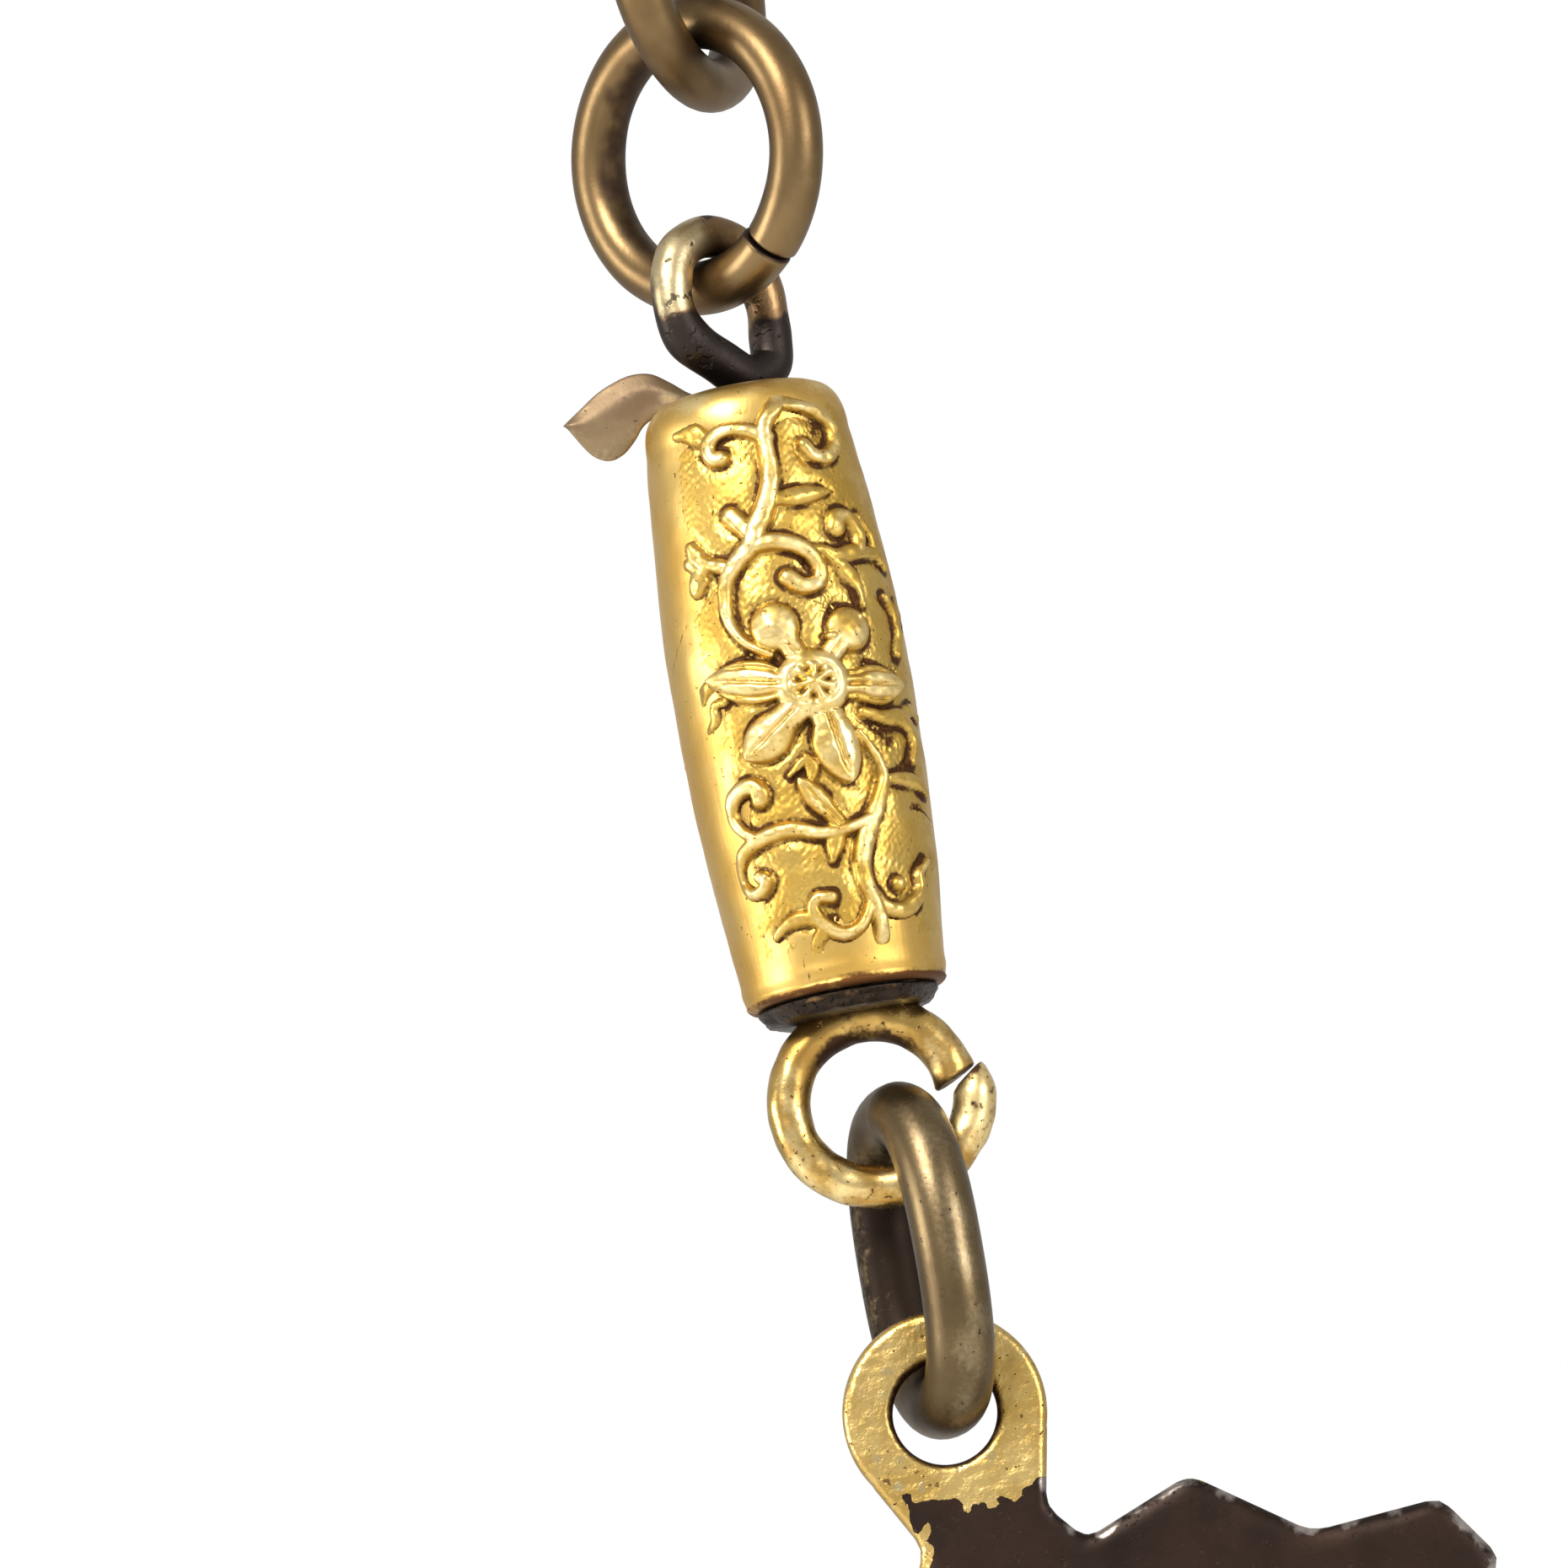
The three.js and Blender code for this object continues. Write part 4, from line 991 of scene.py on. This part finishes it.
def end_ring():
    """The swivelling ring: a circle of wire cut on its right, its two ends slanted and lying
    past each other, the lower one pinched and sprung outwards. Its top is sunk in the plug and
    swollen by solder where they meet."""
    plug_low, _, plug_middle = node_box("swivel_plug")
    foot = node_box("end_ring")[0][2]
    centre = np.array([plug_middle[0] + 0.15, plug_middle[1], foot + END_WIRE_R + END_RING_R])
    t = wire_shares(170, (0.0008, 0.002, 0.0045), (0.9955, 0.998, 0.9992))
    angle = END_RING_FROM + (2 * np.pi + END_RING_PAST) * t
    reach = END_RING_R + SPREAD * smoothstep(SPREAD_FROM, 1.0, t)
    line = reach[:, None] * np.stack([np.cos(angle), np.sin(angle)], -1)
    run = run_length(line)
    pinched = np.clip(1 - (run[-1] - run) / PINCH_LENGTH, 0, 1)
    radius = END_WIRE_R * end_rounding(run, 0.09) * (1 - PINCH * pinched ** 2)
    flare = smoothstep(0.5, 0.98, np.sin(angle))
    radius = radius * (1 + 0.012 * np.sin(5 * angle)) + 0.05 * flare
    around = circle(30)
    rows = wire_rows(line, radius, centre, 0, False, around=len(around))
    slant = np.clip(1 - run / SLANT_LENGTH, 0, 1)
    slant = slant + np.clip(1 - (run[-1] - run) / SLANT_LENGTH, 0, 1)
    slant = SLANT * slant[:, None] * np.cos(around)
    rows[..., 0] -= slant * np.sin(angle)[:, None]
    rows[..., 2] += slant * np.cos(angle)[:, None]
    outwards = rows - (line[:, None, [0, 0, 1]] * [1, 0, 1] + centre)
    rows += (0.008 * unevenness(rows, 0.5, 51))[..., None] * outwards / END_WIRE_R
    rows[..., 2] = np.minimum(rows[..., 2], plug_low[2] + 0.12)
    points, faces = skin(rows, False)
    shade = unevenness(rows, 0.7, 52)
    inside = smoothstep(0.1, 0.9, -np.cos(around))
    top = smoothstep(0.25, 0.95, np.sin(angle))[:, None]
    # painted shade on the inner side of the ring; the ring is also darker towards its top by the
    # plug, dark at its cut ends, and crackled near its lower end
    grime_and_shade = top * (0.3 + 0.42 * inside + 0.16 * shade) + 0.12 * inside
    grime_and_shade += 0.55 * bell(np.minimum(t, 1 - t) * 11.7, 0.1)[:, None]
    crackled = smoothstep(0.86, 0.93, t)[:, None]
    grime_and_shade += crackled * (0.18 + 0.22 * unevenness(rows, 0.3, 53))
    worn = 0.45 * (1 - top) + 0.35 * crackled + 0.15 * shade
    return make_piece("end_ring_wire", points, faces, "swivel", GOLD_RING,
                      ["end_ring"], shut_marks(grime_and_shade, worn, 0.6))


swivel_plug()
end_ring()


# ---- oval link ------------------------------------------------------------------------------
LINK_HALF_LENGTH, LINK_HALF_WIDTH, LINK_WIRE_R = 3.2, 1.85, 0.75
LINK_POWER, LINK_YAW = 2.4, -70
LINK_SEAM, LINK_GAP = np.radians(84), 0.008     # angle of the seam, and how wide it is


def oval_link():
    """The oval link: a superellipse of heavy wire, cut at its top, where the two ends stand
    slightly out of line."""
    middle = node_box("oval_link")[2]
    t = wire_shares(180, (0.0006, 0.0016, 0.0035), (0.9965, 0.9984, 0.9994))
    angle = LINK_SEAM + LINK_GAP / 2 + (2 * np.pi - LINK_GAP) * t
    side, up = np.cos(angle), np.sin(angle)
    line = np.stack([LINK_HALF_WIDTH * np.sign(side) * np.abs(side) ** (2 / LINK_POWER),
                     LINK_HALF_LENGTH * np.sign(up) * np.abs(up) ** (2 / LINK_POWER)], -1)
    radius = LINK_WIRE_R * end_rounding(run_length(line), 0.1) * (1 + 0.006 * np.sin(4 * angle))
    near = np.minimum(t, 1 - t)
    shift = 0.05 * np.sign(0.5 - t) * bell(near, 0.06)
    around = circle(32)
    rows = wire_rows(line, radius, middle, LINK_YAW, False, around=len(around), offset=shift)
    points, faces = skin(rows, False)
    inside = smoothstep(0.0, 0.9, -np.cos(around))
    back = smoothstep(0.2, 1.2, rows[..., 1] - middle[1])
    shade = unevenness(rows, 1.0, 61)
    # painted shade on the inner side of the wire and over the back leg, away from the front; dark
    # grime at the seam
    grime_and_shade = 0.4 * inside + back * (0.52 + 0.08 * unevenness(rows, 0.25, 62))
    grime_and_shade += 0.75 * bell(near * 17, 0.07)[:, None]
    worn = 0.42 * smoothstep(0.2, 1, np.cos(around)) * (1 - back) + 0.12 * shade
    return make_piece("oval_link_wire", points, faces, "link", LINK_BRASS,
                      ["oval_link"], shut_marks(grime_and_shade, worn, 0.9))


oval_link()


# ---- plaque ---------------------------------------------------------------------------------
# Corners of the leaf's right half as (across, below the hole), from the neck to the tip.
PLAQUE_HALF = [(1.41, 2.65), (2.0, 3.61), (4.56, 3.02), (6.68, 5.07), (9.55, 5.29),
               (10.35, 6.93), (9.3, 8.2), (10.6, 9.3), (9.2, 11.0), (7.3, 10.9), (7.6, 12.6),
               (5.6, 13.2), (4.2, 12.5), (3.6, 14.4), (1.7, 14.0)]
PLAQUE_LENGTH = 16.2
PLAQUE_EYE_R, PLAQUE_HOLE_R, PLAQUE_HALF_THICK = 2.23, 1.14, 0.4
PLAQUE_TILT, PLAQUE_ASIDE = np.radians(9), 0.48
NECK_SLOPE = np.radians(20)     # where the leaf leaves its eye, below the level of the hole
CORNER_CUT = 0.3                # how far from each corner its rounding starts
GILT_SLOPE = np.radians(19.2)   # slope of the gilding's lower border


def plaque_outline():
    """The leaf's whole outline below its eye, as a closed polygon of (across, up)."""
    half = np.array(PLAQUE_HALF)
    right = np.stack([half[:, 0], -half[:, 1]], -1)
    left = right[::-1] * [-1, 1]
    neck = PLAQUE_EYE_R * np.array([[np.cos(NECK_SLOPE), -np.sin(NECK_SLOPE)]])
    corners = np.concatenate([neck, right, [[0, -PLAQUE_LENGTH]], left, neck * [-1, 1]])
    before, after = np.roll(corners, 1, 0) - corners, np.roll(corners, -1, 0) - corners
    before *= CORNER_CUT / np.linalg.norm(before, axis=1, keepdims=True)
    after *= CORNER_CUT / np.linalg.norm(after, axis=1, keepdims=True)
    soft = [corners + before, corners + (before + after) / 4, corners + after]
    return np.stack(soft, 1).reshape(-1, 2)


def inside_depth(at):
    """Distance inside the plaque's edge, negative outside: the union of the leaf polygon and
    the eye's disc, less the hole."""
    outline = plaque_outline()
    following = np.roll(outline, -1, 0)
    step = following - outline
    near = np.full(at.shape[:-1], 99.0)
    crossings = np.zeros(at.shape[:-1], int)
    for (x0, z0), (dx, dz), z1 in zip(outline, step, following[:, 1]):
        ax, az = at[..., 0] - x0, at[..., 1] - z0
        t = np.clip((ax * dx + az * dz) / (dx * dx + dz * dz), 0, 1)
        near = np.minimum(near, np.hypot(ax - t * dx, az - t * dz))
        if dz:
            crossings += ((z0 > at[..., 1]) != (z1 > at[..., 1])) & (ax < dx * az / dz)
    leaf = np.where(crossings % 2 == 1, near, -near)
    from_hole = np.hypot(at[..., 0], at[..., 1])
    return np.minimum(np.maximum(leaf, PLAQUE_EYE_R - from_hole), from_hole - PLAQUE_HOLE_R)


def graded(stops):
    """Grid lines from stops (place, spacing up to it)."""
    parts = [np.linspace(a, b, int(round((b - a) / step)) + 1)[:-1]
             for (a, _), (b, step) in zip(stops, stops[1:])]
    return np.concatenate(parts + [[stops[-1][0]]])


def plaque():
    """The plaque: a grid laid over the leaf, finest round the eye. Grid points outside the edge
    are drawn on to it, cells wholly outside are dropped, and the two faces are joined by a
    rounded wall. The faces sink towards the edge by half their height, as a quarter circle."""
    across = graded([(-11, 0), (-2.7, .2), (2.7, .062), (11, .2)])
    up = graded([(-16.6, 0), (-5.2, .2), (2.6, .062)])
    x, z = np.meshgrid(across, up, indexing="ij")
    at = np.stack([x, z], -1)
    depth = inside_depth(at)
    keep_point = depth > 0
    cell = keep_point[:-1, :-1] | keep_point[1:, :-1] | keep_point[:-1, 1:] | keep_point[1:, 1:]
    for _ in range(4):          # draw the outer points on to the edge, along the steepest way in
        e = 1e-3
        way = np.stack([inside_depth(at + [e, 0]) - depth, inside_depth(at + [0, e]) - depth], -1) / e
        way /= np.maximum(np.linalg.norm(way, axis=-1, keepdims=True), 1e-6)
        at = np.where(keep_point[..., None], at, at - way * depth[..., None])
        depth = inside_depth(at)
    roll = 0.2 + 0.25 * smoothstep(-2.2, -3.2, at[..., 1])
    bevel = np.clip(np.maximum(depth, 0) / roll, 0, 1)
    half = PLAQUE_HALF_THICK * (0.5 + 0.5 * np.sqrt(1 - (1 - bevel) ** 2))
    level = at[..., 0] * np.sin(GILT_SLOPE) + at[..., 1] * np.cos(GILT_SLOPE)
    aside = at[..., 0] * np.cos(GILT_SLOPE) - at[..., 1] * np.sin(GILT_SLOPE)
    gilt_foot = -1.95 + 0.5 * smoothstep(1.35, 2.1, aside) + 0.05 * unevenness(at, 0.9, 71)
    gold_eye = smoothstep(-0.15, 0.15, level - gilt_foot + 0.05 * unevenness(at, 0.3, 72))
    edge_strip = smoothstep(0.27, 0.17, depth + 0.09 * unevenness(at, 0.5, 73))
    edge_strip *= (at[..., 0] < 0) * (at[..., 1] > -3.4)
    gold = np.maximum(gold_eye, edge_strip)
    beaten = 0.0025 * unevenness(at, 0.3, 74) + 0.003 * unevenness(at * [1, 3.0], 0.6, 75)
    half_front = half + gold * beaten * bevel - 0.004 * (1 + unevenness(at, 1.2, 76)) * bevel
    # points and cells that are used
    used = np.zeros(x.shape, bool)
    for shift_x in (0, 1):
        for shift_z in (0, 1):
            used[shift_x:x.shape[0] - 1 + shift_x, shift_z:x.shape[1] - 1 + shift_z] |= cell
    number = np.full(x.shape, -1)
    number[used] = np.arange(used.sum())
    count = int(used.sum())
    quads = np.stack([number[:-1, :-1], number[1:, :-1], number[1:, 1:], number[:-1, 1:]], -1)[cell]
    # border edges are those that only one kept cell has
    edges = np.concatenate([quads[:, [i, (i + 1) % 4]] for i in range(4)])
    key = edges.min(1) * count + edges.max(1)
    _, where, times = np.unique(key, return_index=True, return_counts=True)
    border = edges[where[times == 1]]
    walls = np.stack([border[:, 1], border[:, 0], border[:, 0] + count, border[:, 1] + count], -1)
    cos, sin = np.cos(PLAQUE_TILT), np.sin(PLAQUE_TILT)
    flat = at[used]
    turned_x = flat[:, 0] * cos - flat[:, 1] * sin
    turned_z = flat[:, 0] * sin + flat[:, 1] * cos
    eye_z = node_box("plaque")[1][2] - PLAQUE_EYE_R
    front = np.stack([turned_x, -half_front[used], turned_z], -1)
    back = np.stack([turned_x, half[used], turned_z], -1)
    points = np.concatenate([front, back]) + [AXIS_X + PLAQUE_ASIDE, AXIS_Y, eye_z]
    rim = bell(depth - 0.04, 0.13) * (1 - gold)
    from_rim = np.hypot(at[..., 0], at[..., 1]) - PLAQUE_HOLE_R
    grime_and_shade = 0.75 * smoothstep(0.3, 0.05, from_rim) * smoothstep(0.26, 0.02, depth)
    worn = rim * (0.45 + 0.4 * unevenness(at, 0.9, 77)) + 0.25 * gold * unevenness(at, 0.5, 78)
    marks = {label: np.tile(field[used], 2)         # the same on both faces
             for label, field in (("grime_and_shade", grime_and_shade), ("worn", worn), ("gold", gold))}
    return make_piece("plaque_plate", points, [quads, quads[:, ::-1] + count, walls], "plaque",
                      PLAQUE_FINISH, ["plaque"], marks)


GILT_COLOURS = ((0.60, 0.425, 0.155), (0.49, 0.32, 0.09), (0.07, 0.032, 0.018),
                (0.76, 0.61, 0.31))
BROWN_COLOURS = ((0.030, 0.017, 0.012), (0.019, 0.012, 0.009), (0.011, 0.007, 0.006),
                 (0.36, 0.31, 0.28))


def gilt_over_brown():
    """The plaque's finish: gold wash where the gold mark is high, brown patina elsewhere, each
    with its own tarnish and tool marks, and a thin step between them."""
    material, tree, shader, coordinates = new_material("gilt_over_brown")
    ragged = noise(tree, coordinates, 5000.0, 4.0, 0.65)
    ragged = maths(tree, "MULTIPLY", maths(tree, "SUBTRACT", ragged, 0.5), 1.1)
    gilt = spread(tree, maths(tree, "ADD", mark(tree, "gold"), ragged), 0.44, 0.56)
    gold = tarnish(tree, coordinates, GILT_COLOURS, (900.0, 6500.0, 0.66))
    brown = tarnish(tree, coordinates, BROWN_COLOURS, (450.0, 6500.0, 0.74))
    colour = blend_colour(tree, gilt, brown["Color"], gold["Color"])
    tree.links.new(colour, shader.inputs["Base Color"])
    bare = maths(tree, "MULTIPLY", brown["Bare"], 0.2)
    rough = maths(tree, "SUBTRACT", spread(tree, gilt, 0.0, 1.0, 0.44, 0.33), bare)
    grimy_and_shaded = maths(tree, "MULTIPLY", gold["Grimy_and_shaded"], 0.2)
    tree.links.new(maths(tree, "ADD", rough, grimy_and_shaded, clamp=True), shader.inputs["Roughness"])
    tree.links.new(spread(tree, gilt, 0.0, 1.0, 0.9, 1.0), shader.inputs["Metallic"])
    gold_height = tool_marks(tree, coordinates, gold["Specks"], (0.25, 1, 1),
                             (0.008, 0.005, 6000, 0.012, 0.006))
    brown_height = tool_marks(tree, coordinates, gold["Specks"], (0.3, 1, 1),
                              (0.003, 0.012, 1200, 0.012, 0.004))
    height = maths(tree, "MULTIPLY", maths(tree, "SUBTRACT", gold_height, brown_height), gilt)
    height = maths(tree, "ADD", height, brown_height)
    height = maths(tree, "ADD", height, maths(tree, "MULTIPLY", gilt, 0.012))
    link_bump(tree, height, shader)
    return material


PLAQUE_FINISH = gilt_over_brown()
plaque()


# ---- inner pieces that keep their CAD shape --------------------------------------------------
INNER = {
    "guide_bush": (DULL_BRASS, "dark_gold"), "foot_bush": (DULL_BRASS, "dark_gold"),
    "tongue_plate": (DULL_BRASS, "dark_gold"), "spring_blade": (GREY_STEEL, "steel"),
    "spring_rivet": (GREY_STEEL, "steel"), "swivel_post": (GREY_STEEL, "steel"),
    "swivel_washer": (GREY_STEEL, "steel"),
}
for inner_name, (inner_finish, inner_slot) in INNER.items():
    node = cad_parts[inner_name]
    node.data.materials.clear()
    node.data.materials.append(inner_finish)
    weld = node.modifiers.new("weld", "WELD")
    weld.merge_threshold = 1e-6
    soften = node.modifiers.new("soften", "BEVEL")
    soften.width = 0.03 * MM
    soften.segments = 2
    soften.angle_limit = np.radians(35)


# ---- floor, light and camera ----------------------------------------------------------------
def plain_floor():
    """A pale round floor well below the piece: rings of points whose radii grow evenly."""
    around, reach, low = 96, 2500, -125.0
    radius = np.linspace(0, reach, 12)[1:, None]
    angle = circle(around)[None]
    rows = np.stack([radius * np.cos(angle), radius * np.sin(angle), low + 0 * radius * angle], -1)
    index = np.arange(rows.shape[0] * around).reshape(-1, around)
    here, there = index[:-1], index[1:]
    quads = np.stack([here, there, np.roll(there, -1, 1), np.roll(here, -1, 1)], -1).reshape(-1, 4)
    mesh = bpy.data.meshes.new("floor")
    mesh.from_pydata((rows.reshape(-1, 3) * MM).tolist(), [], quads.tolist() + [index[0].tolist()])
    material, tree, shader, coordinates = new_material("pale_floor")
    tone = spread(tree, noise(tree, coordinates, 6.0), 0.3, 0.7, 0.78, 0.8)
    tree.links.new(tone, shader.inputs["Base Color"])
    shader.inputs["Roughness"].default_value = 0.9
    mesh.materials.append(material)
    floor = bpy.data.objects.new("floor", mesh)
    bpy.context.scene.collection.objects.link(floor)


plain_floor()

AIM_LEFT, AIM_DOWN = 0.54, 8.7         # the middle of the view, from the middle of the barrel's top
AIM = Vector((AXIS_X - AIM_LEFT, AXIS_Y, BARREL_TOP - AIM_DOWN)) * MM


def soft_light(name, place, power, size, colour=(1, 1, 1)):
    """A square area light aimed at the middle of the view. Place is in millimetres from it."""
    data = bpy.data.lights.new(name, "AREA")
    data.energy = power
    data.size = size * MM
    data.color = colour
    light = bpy.data.objects.new(name, data)
    bpy.context.scene.collection.objects.link(light)
    light.location = AIM + Vector(place) * MM
    light.rotation_mode = "QUATERNION"
    light.rotation_quaternion = (-Vector(place)).to_track_quat("-Z", "Y")


soft_light("key", (-110, -260, 200), 1.5, 120, (1, 0.98, 0.95))
soft_light("fill", (250, -220, 40), 0.6, 130, (0.97, 0.98, 1))
soft_light("left_strip", (-300, -60, 20), 0.5, 110)

world = bpy.data.worlds.new("studio")
world.use_nodes = True
world_tree = world.node_tree
world_tree.nodes["Background"].inputs["Color"].default_value = (1, 1, 1, 1)
seen_directly = world_tree.nodes.new("ShaderNodeLightPath").outputs["Is Camera Ray"]
world_tree.links.new(spread(world_tree, seen_directly, 0.0, 1.0, 0.62, 1.0),
                     world_tree.nodes["Background"].inputs["Strength"])
bpy.context.scene.world = world

VIEW_ELEVATION, VIEW_ROLL = np.radians(-8.5), np.radians(10.2)
VIEW_WIDTH, VIEW_DISTANCE = 34.41, 270.0


def long_lens_camera():
    """A long-lens camera: level axes for the elevation, then turned about its own line of sight
    so that the chain hangs aslant, from upper left to lower right."""
    look = Vector((0, np.cos(VIEW_ELEVATION), np.sin(-VIEW_ELEVATION)))
    level_up = Vector((0, -look.z, look.y))
    right = Vector((1, 0, 0)) * np.cos(VIEW_ROLL) - level_up * np.sin(VIEW_ROLL)
    up = Vector((1, 0, 0)) * np.sin(VIEW_ROLL) + level_up * np.cos(VIEW_ROLL)
    data = bpy.data.cameras.new("camera")
    data.lens = data.sensor_width * VIEW_DISTANCE / VIEW_WIDTH
    data.clip_start, data.clip_end = 0.01, 10
    camera = bpy.data.objects.new("camera", data)
    bpy.context.scene.collection.objects.link(camera)
    place = AIM - look * VIEW_DISTANCE * MM
    turn = Matrix((right, up, -look)).transposed().to_4x4()
    camera.matrix_world = Matrix.Translation(place) @ turn
    bpy.context.scene.camera = camera


long_lens_camera()
bpy.context.scene.view_settings.view_transform = "Standard"

bpy.context.view_layer.update()
